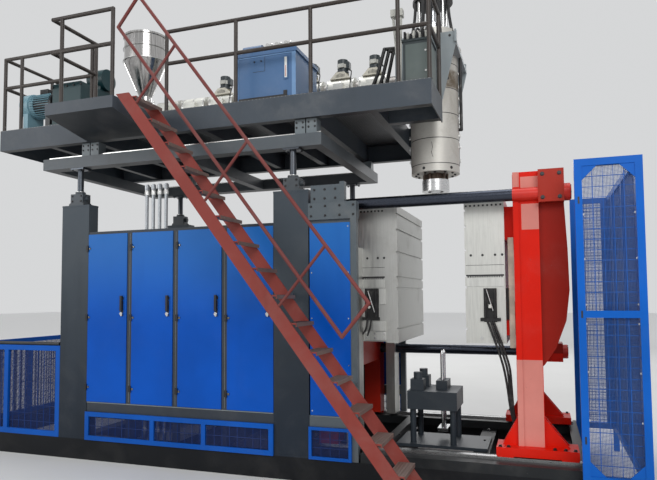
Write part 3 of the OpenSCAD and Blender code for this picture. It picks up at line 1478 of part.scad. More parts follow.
// Left yoke with the clamp cylinder, drawn by the tie bars
module yoke_left() {
  foot_z0 = rail_top + foot_clear;
  color([0.75, 0.14, 0.07]) difference() {
    union() {
      both_sides() {
        box(yoke_left_x0, yoke_left_x1, leg_y0, leg_y0 + 200, foot_z0, 2860);
        shoe(yoke_left_x0, yoke_left_x1);
      }
      for (z = [1020, 1700, 2540]) {
        box(yoke_left_x0, yoke_left_x1, leg_y0 + 200 - 1, -leg_y0 - 200 + 1, z, z + (z == 1700 ? 480 : 300));
      }
      x_cyl(yoke_left_x0 - cylinder_l, yoke_left_x0 + eps, 0, clamp_z, cylinder_d);
      x_cyl(yoke_left_x0 - 40, yoke_left_x0 + eps, 0, clamp_z, cylinder_d + 90);
    }
    x_cyl(chamber_x0, yoke_left_x0 - 14, 0, clamp_z, chamber_d);
    x_cyl(yoke_left_x0 - 15, yoke_left_x1 + 1, 0, clamp_z, clamp_rod_d + 2 * fit_gap);
    x_cyl(yoke_left_x0 - 1, yoke_left_x1 + 1, -tie_y, tie_upper_z, tie_d);
    x_cyl(yoke_left_x0 - 1, yoke_left_x1 + 1, tie_lower_y, tie_lower_z, tie_d);
  }
}

// One tie bar with the nuts at both of its ends
module tie_bar(y, z) {
  nut_d = 160;
  x_cyl(tie_x0, tie_x1, y, z, tie_d);
  x_cyl(yoke_left_x0 - 60, yoke_left_x0, y, z, nut_d);
  x_cyl(tie_x1 - 61, tie_x1 - 8, y, z, nut_d);
}

// The diagonal pair of tie bars, with their nuts
module tie_bars() {
  color([0.16, 0.18, 0.24]) {
    tie_bar(-tie_y, tie_upper_z);
    tie_bar(tie_lower_y, tie_lower_z);
  }
}

base_skid();
columns();
jack_housings();
cabinet_frame();
cabinet_shell();
door_hinges();
door_1();
door_2();
door_3();
door_4();
handle_1();
handle_2();
handle_3();
handle_4();
switchgear_plate();
hydraulic_tank();
pump_motor();
riser_pipes();
side_panel();
clamp_header();
lower_panels();
left_guard();
right_guard();
clamp_bed();
guide_rails();
blow_station();
blow_pins();
stair();
stair_handrail();
lift_beams();
slide_rails();
jack_screws();
platform_frame();
deck_plate();
landing();
platform_handrail();
slide_blocks();
drive_motor();
gearbox();
barrel();
heater_bands();
barrel_blowers();
extruder_screw();
hopper();
power_unit();
valve_block();
control_box();
head_bracket();
head_body();
die_ring();
head_cylinder();
head_ram();
die_mandrel();
head_hoses();
platen_left();
clamp_rod();
platen_right();
yoke_right();
yoke_left();
tie_bars();
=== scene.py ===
"""Looks of the blow moulding machine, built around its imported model, in metres."""
import math
from itertools import product

import bmesh
import bpy
from mathutils import Matrix, Vector


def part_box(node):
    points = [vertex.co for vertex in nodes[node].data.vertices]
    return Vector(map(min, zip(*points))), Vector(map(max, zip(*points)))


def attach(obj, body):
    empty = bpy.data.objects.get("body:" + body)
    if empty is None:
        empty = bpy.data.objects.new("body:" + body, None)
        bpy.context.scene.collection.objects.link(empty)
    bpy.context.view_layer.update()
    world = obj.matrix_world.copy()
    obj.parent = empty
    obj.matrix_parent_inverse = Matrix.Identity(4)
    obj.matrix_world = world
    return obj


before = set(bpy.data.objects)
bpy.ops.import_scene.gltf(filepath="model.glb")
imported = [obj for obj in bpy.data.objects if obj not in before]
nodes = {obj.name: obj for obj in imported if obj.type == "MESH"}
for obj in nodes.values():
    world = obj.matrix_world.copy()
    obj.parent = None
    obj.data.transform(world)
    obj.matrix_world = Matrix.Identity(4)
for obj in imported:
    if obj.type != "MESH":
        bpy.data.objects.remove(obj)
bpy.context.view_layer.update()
scene = bpy.context.scene


# Places of the model that the details refer to, and directions

DECK = 3.849
DOORS = range(1, 5)
DOOR_WIDTH = 0.5245
DOOR_FRONT = -1.122
DOOR_REAR = -1.09
HOPPER_X = -1.686
SCREW_AXIS = (0.0, 4.23)
HEAD_X = 2.17
HEAD_R = 0.265
GUARD_TOP = 1.26
UP = (0, 0, 1)
DOWN = (0, 0, -1)
FRONT = (0, -1, 0)
REAR = (0, 1, 0)
LEFT = (-1, 0, 0)
RIGHT = (1, 0, 0)
BOTH = (-1, 1)


def door_left(k):
    """Left edge of door k, counted from 1 at the left."""
    return -1.616 + 0.5925 * (k - 1)


# Material building blocks

class Look:
    """A procedural material around one Principled shader, in object space."""

    def __init__(self, name):
        self.mat = bpy.data.materials.new(name)
        self.mat.use_nodes = True
        self.tree = self.mat.node_tree
        self.shader = self.tree.nodes["Principled BSDF"]
        self.space = self.add("ShaderNodeTexCoord").outputs["Object"]

    def add(self, kind, **settings):
        node = self.tree.nodes.new(kind)
        for key, value in settings.items():
            setattr(node, key, value)
        return node

    def link(self, source, target):
        self.tree.links.new(source, target)

    def stretched(self, factors):
        mapping = self.add("ShaderNodeMapping")
        mapping.inputs["Scale"].default_value = factors
        self.link(self.space, mapping.inputs["Vector"])
        return mapping.outputs["Vector"]

    def noise(self, scale, detail=4.0, rough=0.55, stretch=(1, 1, 1), warp=0.0):
        node = self.add("ShaderNodeTexNoise")
        node.inputs["Scale"].default_value = scale
        node.inputs["Detail"].default_value = detail
        node.inputs["Roughness"].default_value = rough
        node.inputs["Distortion"].default_value = warp
        self.link(self.stretched(stretch), node.inputs["Vector"])
        return node.outputs["Fac"]

    def steps(self, value, low, high, out_low=0.0, out_high=1.0):
        node = self.add("ShaderNodeMapRange", interpolation_type="SMOOTHSTEP")
        for key, number in (("From Min", low), ("From Max", high), ("To Min", out_low), ("To Max", out_high)):
            node.inputs[key].default_value = number
        self.link(value, node.inputs["Value"])
        return node.outputs["Result"]

    def maths(self, operation, first, second):
        node = self.add("ShaderNodeMath", operation=operation)
        for socket, value in zip(node.inputs, (first, second)):
            if isinstance(value, (int, float)):
                socket.default_value = value
            else:
                self.link(value, socket)
        return node.outputs[0]

    def times(self, first, second):
        return self.maths("MULTIPLY", first, second)

    def plus(self, first, second):
        return self.maths("ADD", first, second)

    def mix(self, share, first, second):
        node = self.add("ShaderNodeMix", data_type="RGBA")
        if isinstance(share, (int, float)):
            node.inputs["Factor"].default_value = share
        else:
            self.link(share, node.inputs["Factor"])
        for socket, value in ((node.inputs[6], first), (node.inputs[7], second)):
            if isinstance(value, tuple):
                socket.default_value = (*value[:3], 1)
            else:
                self.link(value, socket)
        return node.outputs[2]

    def place(self, axis):
        split = self.add("ShaderNodeSeparateXYZ")
        self.link(self.space, split.inputs[0])
        return split.outputs[axis]

    def band(self, axis, low, high, soft=0.0015):
        """1 between two places along an axis, 0 outside them."""
        place = self.place(axis)
        past_low = self.steps(place, low - soft, low + soft)
        before_high = self.steps(place, high - soft, high + soft, 1.0, 0.0)
        return self.times(past_low, before_high)

    def zone(self, x0, x1, z0, z1):
        return self.times(self.band("X", x0, x1), self.band("Z", z0, z1))

    def bump(self, value, strength, distance):
        node = self.add("ShaderNodeBump")
        node.inputs["Strength"].default_value = strength
        node.inputs["Distance"].default_value = distance
        self.link(value, node.inputs["Height"])
        self.link(node.outputs["Normal"], self.shader.inputs["Normal"])

    def finish(self, colour, rough, metallic=0.0, shine=0.4):
        self.shader.inputs["Specular IOR Level"].default_value = shine
        self.shader.inputs["Metallic"].default_value = metallic
        self.link(colour, self.shader.inputs["Base Color"])
        self.link(rough, self.shader.inputs["Roughness"])
        return self.mat


def shade(colour, factor):
    return tuple(min(1.0, c * factor) for c in colour)


def paint(name, colour, rough=0.42, dust=0.12, grime=0.25, chips=0.03, foot=0.0, under=(0.12, 0.1, 0.09),
          paler_top=None, patches=(), underside_shade=0.0, shine=0.4):
    """Painted metal: uneven tone, vertical runs of grime, settled dust and small chips.

    foot is the height that floor water splashes, under the colour in the chips, a top colour with two heights
    makes the top paler between them, patches are zones of another colour (paint, and on the yoke also a
    painted shade), and the share given for faces that look down darkens them, a painted shade.
    """
    look = Look(name)
    tone = look.steps(look.noise(0.9, 5), 0.3, 0.7)
    base = look.mix(tone, shade(colour, 0.88), shade(colour, 1.12))
    # Paler towards the top, between two heights.
    if paler_top:
        low, high, top = paler_top
        base = look.mix(look.steps(look.place("Z"), low, high, 0.0, 0.85), base, top)
    for *zone, y_end, patch in patches:
        share = look.times(look.zone(*zone), look.steps(look.place("Y"), y_end - 0.005, y_end, 1.0, 0.0))
        base = look.mix(share, base, look.mix(tone, shade(patch, 0.86), shade(patch, 1.1)))
    # Painted shade: faces that look down are darkened towards near black, for the shade under beams and deck.
    if underside_shade:
        facing = look.add("ShaderNodeSeparateXYZ")
        look.link(look.add("ShaderNodeNewGeometry").outputs["Normal"], facing.inputs[0])
        base = look.mix(look.steps(facing.outputs["Z"], -0.8, -0.5, underside_shade, 0.0), base, (0.012, 0.014, 0.016))
    runs = look.steps(look.noise(5, 6, 0.6, (1, 1, 0.12)), 0.52, 0.78, 0.0, grime)
    base = look.mix(runs, base, shade(colour, 0.55))
    haze = look.steps(look.noise(2.2, 6, 0.65, warp=0.4), 0.45, 0.8, 0.0, dust)
    base = look.mix(haze, base, (0.42, 0.4, 0.37))
    spots = look.steps(look.noise(46, 3, 0.7), 0.74 - chips, 0.76 - chips, 0.0, 0.8)
    worn = look.times(spots, look.steps(look.noise(3.1, 3), 0.5, 0.62))
    base = look.mix(worn, base, under)
    if foot:
        near_floor = look.steps(look.place("Z"), 0.0, foot, 0.5, 0.0)
        splash = look.times(near_floor, look.steps(look.noise(7, 6, 0.7), 0.35, 0.7))
        base = look.mix(splash, base, (0.16, 0.14, 0.12))
    value = look.plus(look.steps(haze, 0.0, max(dust, 0.01), rough - 0.05, rough + 0.12),
                      look.times(look.noise(90, 3), 0.08))
    relief = look.plus(look.times(look.noise(210, 2), 0.5), look.times(worn, -1.0))
    look.bump(relief, 0.12, 0.0008)
    return look.finish(base, value, shine=shine)


def metal(name, colour, rough=0.35, grain=(1, 1, 24), stain=0.3, stain_colour=(0.16, 0.13, 0.1), scale=30,
          contrast=0.15):
    """Bare metal: drawn or ground lines along one direction, stains and uneven sheen."""
    look = Look(name)
    lines = look.noise(scale, 5, 0.7, grain)
    dark, pale = shade(colour, 1 - contrast), shade(colour, 1 + contrast * 0.7)
    base = look.mix(look.steps(lines, 0.3, 0.7), dark, pale)
    marks = look.steps(look.noise(3.4, 6, 0.68, warp=0.5), 0.5, 0.82, 0.0, stain)
    base = look.mix(marks, base, stain_colour)
    value = look.plus(look.steps(lines, 0.25, 0.75, rough - 0.06, rough + 0.08), look.times(marks, 0.45))
    look.bump(lines, 0.1, 0.0006)
    return look.finish(base, value, 1.0)


def ground_plate(name, colour, rough, stain, stain_colour):
    """Plate ground upright, with close and faint lines."""
    return metal(name, colour, rough, (1, 1, 0.05), stain, stain_colour, 70, 0.08)


def tread_plate(name, colour):
    """Chequer plate: raised bars in crossed pairs, bright where feet rub them, dust between."""
    look = Look(name)
    slants = [look.maths(operation, look.place("X"), look.place("Y")) for operation in ("ADD", "SUBTRACT")]
    ways = [look.times(slant, 24.0) for slant in slants]
    cells = [look.maths("FLOOR", way, 0.0) for way in ways]
    inner = [look.maths("SUBTRACT", look.maths("FRACT", way, 0.0), 0.5) for way in ways]
    squares = [look.maths("POWER", look.maths("ABSOLUTE", place, 0.0), 2.0) for place in inner]
    odd = look.maths("PINGPONG", look.plus(*cells), 1.0)
    bars = []
    for long, short in (squares, squares[::-1]):
        reach = look.plus(long, look.times(short, 9.0))
        bars.append(look.steps(reach, 0.12, 0.18, 1.0, 0.0))
    raised = look.plus(look.times(bars[0], odd), look.times(bars[1], look.maths("SUBTRACT", 1.0, odd)))
    dirt = look.steps(look.noise(2.6, 6, 0.65, warp=0.4), 0.35, 0.75)
    base = look.mix(dirt, shade(colour, 0.75), shade(colour, 1.2))
    base = look.mix(look.times(raised, 0.7), base, shade(colour, 2.4))
    value = look.maths("SUBTRACT", look.steps(dirt, 0.0, 1.0, 0.5, 0.72), look.times(raised, 0.2))
    look.bump(raised, 0.5, 0.0015)
    return look.finish(base, value, 0.7)


def plastic(name, colour, rough=0.5, grain=320):
    """Moulded plastic or rubber: fine leathery grain, dust and a few rubbed places."""
    look = Look(name)
    tone = look.steps(look.noise(6, 5), 0.35, 0.7)
    base = look.mix(tone, shade(colour, 0.85), shade(colour, 1.25))
    dust = look.steps(look.noise(11, 6, 0.7), 0.5, 0.8, 0.0, 0.18)
    base = look.mix(dust, base, (0.4, 0.38, 0.35))
    value = look.steps(tone, 0.0, 1.0, rough - 0.06, rough + 0.1)
    look.bump(look.noise(grain, 3), 0.2, 0.0004)
    return look.finish(base, value)


def head_look():
    """Machined steel of the head, greyed by heat, with one brown patch under the flange."""
    look = Look("head_metal")
    lines = look.noise(30, 5, 0.7, (1, 1, 22))
    base = look.mix(look.steps(lines, 0.3, 0.7), (0.5, 0.49, 0.45), (0.62, 0.6, 0.56))
    stain = look.steps(look.noise(3.0, 6, 0.68, (1, 1, 0.6), 0.6), 0.48, 0.8, 0.0, 0.5)
    base = look.mix(stain, base, (0.24, 0.2, 0.15))
    uneven = look.steps(look.noise(9, 5, 0.7), 0.3, 0.6, 0.35, 0.9)
    burnt = look.times(look.band("Z", 4.075, 4.27, 0.02), uneven)
    base = look.mix(burnt, base, (0.12, 0.085, 0.05))
    value = look.plus(look.steps(lines, 0.25, 0.75, 0.46, 0.6), look.times(stain, 0.3))
    look.bump(lines, 0.1, 0.0006)
    return look.finish(base, value, 0.55)


def tie_look():
    """Dark oiled bar whose right end, past the yoke, is painted red."""
    look = Look("tie_dark")
    lines = look.noise(30, 5, 0.7, (1, 20, 20))
    bar = look.mix(look.steps(lines, 0.3, 0.7), (0.045, 0.052, 0.07), (0.07, 0.078, 0.1))
    red = look.mix(look.steps(look.noise(6, 5), 0.3, 0.7), (0.55, 0.012, 0.003), (0.68, 0.02, 0.006))
    painted = look.steps(look.place("X"), 3.0175, 3.0185)
    value = look.plus(look.steps(lines, 0.25, 0.75, 0.2, 0.34), look.times(painted, 0.12))
    look.link(look.maths("SUBTRACT", 1.0, painted), look.shader.inputs["Metallic"])
    look.bump(lines, 0.1, 0.0005)
    return look.finish(look.mix(painted, bar, red), value, shine=0.5)


PRIMER = (0.68, 0.24, 0.2)
# Zones of another colour on the right yoke: X and Z range, how far back along Y, colour. The first is a
# painted shade, the rib beside the column darkened to a dark red; the second a brownish red on the front of
# the nut block; the rest are pink primer.
YOKE_PATCHES = (
    # painted shade: dark red over the rib beside the column
    (3.2475, 3.52, 1.14, 2.96, 2.0, (0.32, 0.01, 0.003)),
    (3.248, 3.475, 2.645, 2.96, -0.9, (0.42, 0.028, 0.014)),
    (3.02, 3.08, 2.81, 2.975, -0.79, PRIMER),
    (3.091, 3.246, 2.8, 2.905, -0.79, PRIMER),
    (3.094, 3.246, 2.41, 2.65, -0.79, PRIMER),
    (3.02, 3.246, 0.43, 1.21, -0.79, PRIMER),
)
BRIGHT_CHIP = (0.3, 0.28, 0.26)

# The material of each node of the model
LOOKS = {
    "base_skid": paint("base_black", (0.006, 0.007, 0.009), 0.5, dust=0.035, shine=0.2),
    "columns": paint("column_slate", (0.012, 0.019, 0.03), 0.5, foot=0.12, dust=0.05, shine=0.25,
                     paler_top=(0.3, 2.8, (0.055, 0.07, 0.085))),
    "jack_housings": paint("jack_grey", (0.055, 0.065, 0.075), 0.45, shine=0.3),
    "cabinet_frame": paint("frame_slate", (0.022, 0.03, 0.042), 0.5, dust=0.06),
    "cabinet_shell": paint("shell_slate", (0.09, 0.115, 0.135), 0.45),
    "door_hinges": plastic("hinge_black", (0.012, 0.012, 0.014), 0.45),
    "switchgear_plate": metal("plate_zinc", (0.6, 0.6, 0.56), 0.42, (1, 1, 8)),
    "hydraulic_tank": paint("tank_blue", (0.07, 0.14, 0.25), 0.4),
    "pump_motor": paint("pump_teal", (0.03, 0.13, 0.15), 0.4),
    "riser_pipes": metal("pipe_steel", (0.36, 0.38, 0.4), 0.3, (30, 30, 1)),
    "clamp_header": paint("header_slate", (0.085, 0.105, 0.12), 0.42, foot=0.5, dust=0.14),
    "clamp_bed": paint("bed_dark", (0.013, 0.015, 0.017), 0.45, dust=0.06, chips=0.07,
                       under=(0.2, 0.18, 0.16), shine=0.25),
    "guide_rails": metal("rail_steel", (0.5, 0.5, 0.5), 0.28, (1, 24, 24)),
    "blow_station": paint("station_grey", (0.035, 0.045, 0.056), 0.45, chips=0.06, dust=0.08, shine=0.3),
    "blow_pins": metal("pin_steel", (0.68, 0.69, 0.7), 0.2, (24, 24, 1), 0.1),
    "stair": paint("stair_red", (0.225, 0.037, 0.028), 0.6, foot=0.5, grime=0.35, chips=0.06, dust=0.1,
                   shine=0.3),
    "stair_handrail": paint("stair_rail_red", (0.155, 0.034, 0.03), 0.6, grime=0.3, chips=0.06, shine=0.3),
    # Lift beams, platform frame and landing: the faces that look down get painted shade.
    "lift_beams": paint("lift_grey", (0.075, 0.088, 0.1), 0.45, underside_shade=0.9),
    "slide_rails": metal("slide_steel", (0.72, 0.72, 0.7), 0.24, (1, 24, 24), 0.12),
    "jack_screws": metal("jack_steel", (0.085, 0.095, 0.11), 0.34, (24, 24, 1)),
    "platform_frame": paint("deck_grey_blue", (0.05, 0.062, 0.077), 0.45, grime=0.2, chips=0.04, underside_shade=0.9,
                            shine=0.3),
    "deck_plate": tread_plate("deck_tread", (0.13, 0.135, 0.14)),
    "landing": paint("landing_grey_blue", (0.05, 0.062, 0.077), 0.45, grime=0.2, underside_shade=0.9, shine=0.3),
    "platform_handrail": paint("handrail_brown", (0.034, 0.026, 0.022), 0.45, chips=0.07, under=BRIGHT_CHIP),
    "slide_blocks": paint("block_grey", (0.14, 0.165, 0.18), 0.42),
    "drive_motor": paint("motor_blue", (0.2, 0.36, 0.43), 0.38),
    "gearbox": paint("gear_teal", (0.006, 0.034, 0.04), 0.38, shine=0.3),
    "barrel": metal("barrel_steel", (0.3, 0.29, 0.28), 0.4, (1, 20, 20), 0.5, (0.12, 0.07, 0.04)),
    "heater_bands": metal("heater_shell", (0.66, 0.66, 0.62), 0.5, (1, 8, 8), 0.2),
    "barrel_blowers": paint("blower_cowl", (0.62, 0.59, 0.5), 0.5),
    "extruder_screw": metal("screw_steel", (0.55, 0.56, 0.57), 0.25),
    "hopper": metal("hopper_steel", (0.46, 0.45, 0.44), 0.17, (14, 14, 0.4), 0.15, scale=6, contrast=0.35),
    "power_unit": paint("unit_blue", (0.07, 0.15, 0.3), 0.38, grime=0.2, dust=0.1),
    "valve_block": paint("valve_blue", (0.06, 0.13, 0.27), 0.35),
    "control_box": paint("box_green", (0.036, 0.048, 0.052), 0.45, grime=0.3),
    "head_bracket": paint("bracket_grey", (0.24, 0.275, 0.29), 0.4),
    "head_body": head_look(),
    "die_ring": metal("die_steel", (0.62, 0.62, 0.62), 0.26, (1, 1, 22), 0.15),
    "head_cylinder": paint("cylinder_black", (0.014, 0.014, 0.016), 0.35),
    "head_ram": metal("ram_steel", (0.6, 0.61, 0.63), 0.2, (20, 20, 1), 0.1),
    "die_mandrel": metal("mandrel_steel", (0.6, 0.6, 0.61), 0.24, (1, 1, 22), 0.15),
    "head_hoses": plastic("hose_black", (0.012, 0.012, 0.013), 0.42),
    "platen_left": ground_plate("platen_grey", (0.52, 0.52, 0.5), 0.42, 0.3, (0.25, 0.23, 0.2)),
    "platen_right": ground_plate("platen_silver", (0.6, 0.6, 0.57), 0.42, 0.25, (0.28, 0.26, 0.23)),
    "clamp_rod": metal("rod_chrome", (0.62, 0.63, 0.65), 0.16, (1, 20, 20), 0.1),
    "yoke_right": paint("yoke_red", (0.68, 0.01, 0.001), 0.42, shine=0.16, chips=0.04, dust=0.04,
                        patches=YOKE_PATCHES),
    "yoke_left": paint("yoke_left_red", (0.52, 0.02, 0.006), 0.4, grime=0.3, dust=0.05),
    "tie_bars": tie_look(),
}
door_blue = paint("door_blue", (0.001, 0.078, 0.44), 0.36, grime=0.12, dust=0.01, chips=0.0, shine=0.13,
                  paler_top=(1.4, 2.6, (0.025, 0.15, 0.45)))
guard_blue = paint("guard_blue", (0.002, 0.085, 0.42), 0.4, grime=0.15, chips=0.02, dust=0.03, shine=0.16)
fence_blue = paint("fence_blue", (0.002, 0.105, 0.48), 0.38, grime=0.15, chips=0.02, dust=0.02, shine=0.16)
handle_black = plastic("handle_black", (0.012, 0.012, 0.014), 0.4)
for k in DOORS:
    LOOKS[f"door_{k}"] = door_blue
    LOOKS[f"handle_{k}"] = handle_black
LOOKS["side_panel"] = door_blue
LOOKS["lower_panels"] = guard_blue
LOOKS["left_guard"] = guard_blue
LOOKS["right_guard"] = fence_blue


def dress(node, material):
    mesh = nodes[node].data
    mesh.materials.clear()
    mesh.materials.append(material)
    for face in mesh.polygons:
        face.material_index = 0


def repaint(node, material, test):
    """Gives the faces whose centre passes the test another material."""
    mesh = nodes[node].data
    mesh.materials.append(material)
    for face in mesh.polygons:
        if test(face.center, face.normal):
            face.material_index = len(mesh.materials) - 1


for node, material in LOOKS.items():
    dress(node, material)

# Materials of the details

bright_steel = metal("bright_steel", (0.62, 0.62, 0.61), 0.26, (1, 1, 20), 0.15)
dark_bolt = metal("dark_bolt", (0.06, 0.06, 0.062), 0.42, (1, 1, 20), 0.2)
rubber = plastic("rubber", (0.014, 0.014, 0.015), 0.55)
mesh_navy = paint("mesh_navy", (0.006, 0.022, 0.11), 0.45, dust=0.05, chips=0.0)
mesh_blue = paint("mesh_blue", (0.02, 0.07, 0.24), 0.45, dust=0.08, chips=0.0)
# Pale grey of the post strips, a painted highlight, and of the sill strips.
pale_line_grey = paint("pale_line_grey", (0.17, 0.19, 0.2), 0.4, dust=0.08)
white_paint = paint("white_paint", (0.62, 0.62, 0.58), 0.4, dust=0.05, grime=0.15)
cream_strip = plastic("cream_strip", (0.6, 0.56, 0.45), 0.5)
black_paint = paint("black_paint", (0.014, 0.015, 0.017), 0.38, dust=0.08)
motor_dark = paint("motor_dark", (0.03, 0.04, 0.045), 0.4, dust=0.1)
recess_black = plastic("recess_black", (0.01, 0.01, 0.011), 0.6)
pale_plastic = plastic("pale_plastic", (0.5, 0.5, 0.46), 0.45)
unit_edge = paint("unit_edge", (0.16, 0.29, 0.5), 0.35, dust=0.05)
gauge_glass = plastic("gauge_glass", (0.7, 0.72, 0.7), 0.12, 60)
red_plastic = plastic("red_plastic", (0.5, 0.02, 0.015), 0.35)
bright_plate = ground_plate("bright_plate", (0.66, 0.66, 0.63), 0.36, 0.2, (0.3, 0.28, 0.25))
hopper_band = metal("hopper_band", (0.42, 0.42, 0.41), 0.3, (14, 14, 1), 0.2)
strut_pale = paint("strut_pale", (0.5, 0.5, 0.46), 0.45)

tread_brown = paint("tread_brown", (0.15, 0.1, 0.085), 0.6, dust=0.25, grime=0.4, chips=0.1,
                    under=BRIGHT_CHIP)
# Painted shade: a dark band for the shaded recess under the head, put on the top of the die ring.
die_recess_shade = metal("die_recess_shade", (0.14, 0.105, 0.085), 0.5, stain=0.5)


# Faces of the model that have another colour than the rest of their node, from centre c and normal n

def on_guard_mesh(c, n):
    """True on the sheets behind the wire of the left guard's front, rear and left side."""
    return (abs(n.y) > 0.9 and 1.085 < abs(c.y) < 1.115) or (abs(n.x) > 0.9 and -3.595 < c.x < -3.565)


def on_tie_rod(c, n):
    """True on the sides of the four rods round the head's cylinder."""
    away = [math.hypot(c.x - HEAD_X - dx, c.y - dy) for dx, dy in product((-0.1308, 0.1308), repeat=2)]
    return abs(n.z) < 0.5 and min(away) < 0.0195


for k in DOORS:
    hinge_end = door_left(k) + 0.031
    repaint(f"door_{k}", LOOKS["door_hinges"], lambda c, n: c.y < DOOR_FRONT - 0.0005 and c.x < hinge_end)
repaint("lower_panels", mesh_navy, lambda c, n: abs(n.y) > 0.9 and 1.124 < abs(c.y) < 1.139)
repaint("left_guard", mesh_navy, on_guard_mesh)
repaint("barrel_blowers", motor_dark, lambda c, n: c.z > 4.436)
repaint("drive_motor", black_paint, lambda c, n: c.x > -2.569)
repaint("valve_block", bright_steel, lambda c, n: c.z > 4.4795 and c.x > 0.46)
repaint("control_box", strut_pale, lambda c, n: c.x < 2.0195 or (c.x < 2.045 and c.z > 4.33))
repaint("left_guard", black_paint, lambda c, n: c.z > GUARD_TOP + 0.0005)
repaint("head_cylinder", bright_steel, on_tie_rod)
repaint("stair", tread_brown, lambda c, n: -1.79 < c.y < -1.366)
# Painted shade on the die ring's top, for the recess under the head.
repaint("die_ring", die_recess_shade, lambda c, n: c.z > 3.09)
repaint("hydraulic_tank", black_paint, lambda c, n: c.z > 0.8055)


# Mesh building blocks

HOSE_SIDES = 10
CURVE_STEPS = 6


class Part:
    """A detail piece: solids gathered in one mesh that rides on a body."""

    def __init__(self, name, look, body="frame"):
        self.name = name
        self.look = look
        self.body = body
        self.bm = bmesh.new()

    def box(self, x0, x1, y0, y1, z0, z1):
        corners = [self.bm.verts.new(corner) for corner in product((x0, x1), (y0, y1), (z0, z1))]
        for face in ((0, 1, 3, 2), (4, 6, 7, 5), (0, 4, 5, 1), (2, 3, 7, 6), (0, 2, 6, 4), (1, 5, 7, 3)):
            self.bm.faces.new([corners[i] for i in face])

    def rod(self, start, end, radius, sides=16):
        start, end = Vector(start), Vector(end)
        turn = (end - start).to_track_quat("Z", "Y").to_matrix().to_4x4()
        bmesh.ops.create_cone(self.bm, cap_ends=True, segments=sides, radius1=radius, radius2=radius,
                              depth=(end - start).length, matrix=Matrix.Translation((start + end) / 2) @ turn)

    def stud(self, foot, axis, height, radius, sides=16):
        """A round rod that stands on its foot along the axis."""
        self.rod(foot, Vector(foot) + Vector(axis) * height, radius, sides)

    def loop(self, centre, across, up, radius, sides):
        """Vertices round a circle that lies in two directions."""
        return [self.bm.verts.new(centre + across * a + up * b) for a, b in circle(sides, radius)]

    def skin(self, loops):
        """Faces between each loop of vertices and the next."""
        for first, second in zip(loops, loops[1:]):
            for i in range(len(first)):
                self.bm.faces.new((first[i - 1], first[i], second[i], second[i - 1]))

    def ring(self, centre, axis, outer, inner, width, sides=48):
        """A flat ring of that width along its axis, centred there."""
        turn = Vector(axis).to_track_quat("Z", "Y").to_matrix()
        loops = []
        for radius, shift in ((outer, -0.5), (outer, 0.5), (inner, 0.5), (inner, -0.5)):
            spot = Vector(centre) + Vector(axis) * shift * width
            loops.append(self.loop(spot, turn.col[0], turn.col[1], radius, sides))
        self.skin(loops + loops[:1])

    def prism(self, outline, axis, low, high):
        """The outline, in the two axes that are left in order, drawn out along the axis from low to high."""
        ends = []
        for level in (low, high):
            corners = [list(point) for point in outline]
            for corner in corners:
                corner.insert(axis, level)
            ends.append([self.bm.verts.new(corner) for corner in corners])
        self.bm.faces.new(ends[0])
        self.bm.faces.new(ends[1][::-1])
        self.skin(ends[::-1])

    def bolt(self, place, axis, across):
        """A hexagon head on its washer, standing on the surface at that place."""
        place, axis = Vector(place), Vector(axis)
        self.stud(place, axis, across * 0.12, across * 0.78)
        self.rod(place + axis * across * 0.12, place + axis * across * 0.65, across * 0.57, 6)

    def bolt_grid(self, xs, ys, zs, axis, across):
        """Bolts where the places along X, Y and Z meet; a number alone is one place."""
        for place in product(*(p if isinstance(p, (tuple, list)) else (p,) for p in (xs, ys, zs))):
            self.bolt(place, axis, across)

    def bolt_circle(self, centre, axis, count, radius, across, turn=0.0):
        """Bolts round a centre, on a surface square to X or to Z."""
        for a, b in circle(count, radius, turn):
            shift = Vector((0, a, b)) if axis[0] else Vector((a, b, 0))
            self.bolt(Vector(centre) + shift, axis, across)

    def hose(self, points, radius):
        """A bent tube through the points, its bends rounded by a spline."""
        path = smooth_path([Vector(p) for p in points])
        loops = []
        normal = Vector((0.3, 0.9, 0.2))
        for i, spot in enumerate(path):
            ahead = (path[min(i + 1, len(path) - 1)] - path[max(i - 1, 0)]).normalized()
            normal = (normal - ahead * normal.dot(ahead)).normalized()
            loops.append(self.loop(spot, normal, ahead.cross(normal), radius, HOSE_SIDES))
        self.skin(loops)
        self.bm.faces.new(loops[0][::-1])
        self.bm.faces.new(loops[-1])

    def done(self, bevel=0.0):
        bmesh.ops.recalc_face_normals(self.bm, faces=self.bm.faces)
        mesh = bpy.data.meshes.new(self.name)
        self.bm.to_mesh(mesh)
        self.bm.free()
        mesh.materials.append(self.look)
        mesh.shade_smooth()
        mesh.set_sharp_from_angle(angle=math.radians(35))
        piece = bpy.data.objects.new(self.name, mesh)
        scene.collection.objects.link(piece)
        if bevel:
            edge = piece.modifiers.new("edge", "BEVEL")
            edge.width = bevel
            edge.segments = 2
            edge.limit_method = "ANGLE"
            edge.angle_limit = math.radians(40)
            edge.harden_normals = True
        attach(piece, self.body)


def deck_part(name, look):
    """A piece that rides on the platform."""
    return Part(name, look, "platform")


def smooth_path(points):
    """A Catmull-Rom curve through the points."""
    ends = [points[0] * 2 - points[1], *points, points[-1] * 2 - points[-2]]
    path = []
    for a, b, c, d in zip(ends, ends[1:], ends[2:], ends[3:]):
        for k in range(CURVE_STEPS):
            t = k / CURVE_STEPS
            path.append(0.5 * (b * 2 + (c - a) * t + (a * 2 - b * 5 + c * 4 - d) * t * t
                               + (b * 3 - a - c * 3 + d) * t ** 3))
    return path + [points[-1]]


def spread(first, last, count):
    """Places from first to last, evenly spaced."""
    return [first + (last - first) * i / (count - 1) for i in range(count)]


def circle(count, radius, turn=0.0):
    """Places round a circle, as pairs."""
    angles = [turn + 2 * math.pi * i / count for i in range(count)]
    return [(radius * math.cos(angle), radius * math.sin(angle)) for angle in angles]


# Fine wire mesh in the guards' frames

WIRE = 0.003
MESH = 0.0105
GUARD_BAR = 0.06
PANEL_BAR = 0.05
NARROW_BAR = 0.03


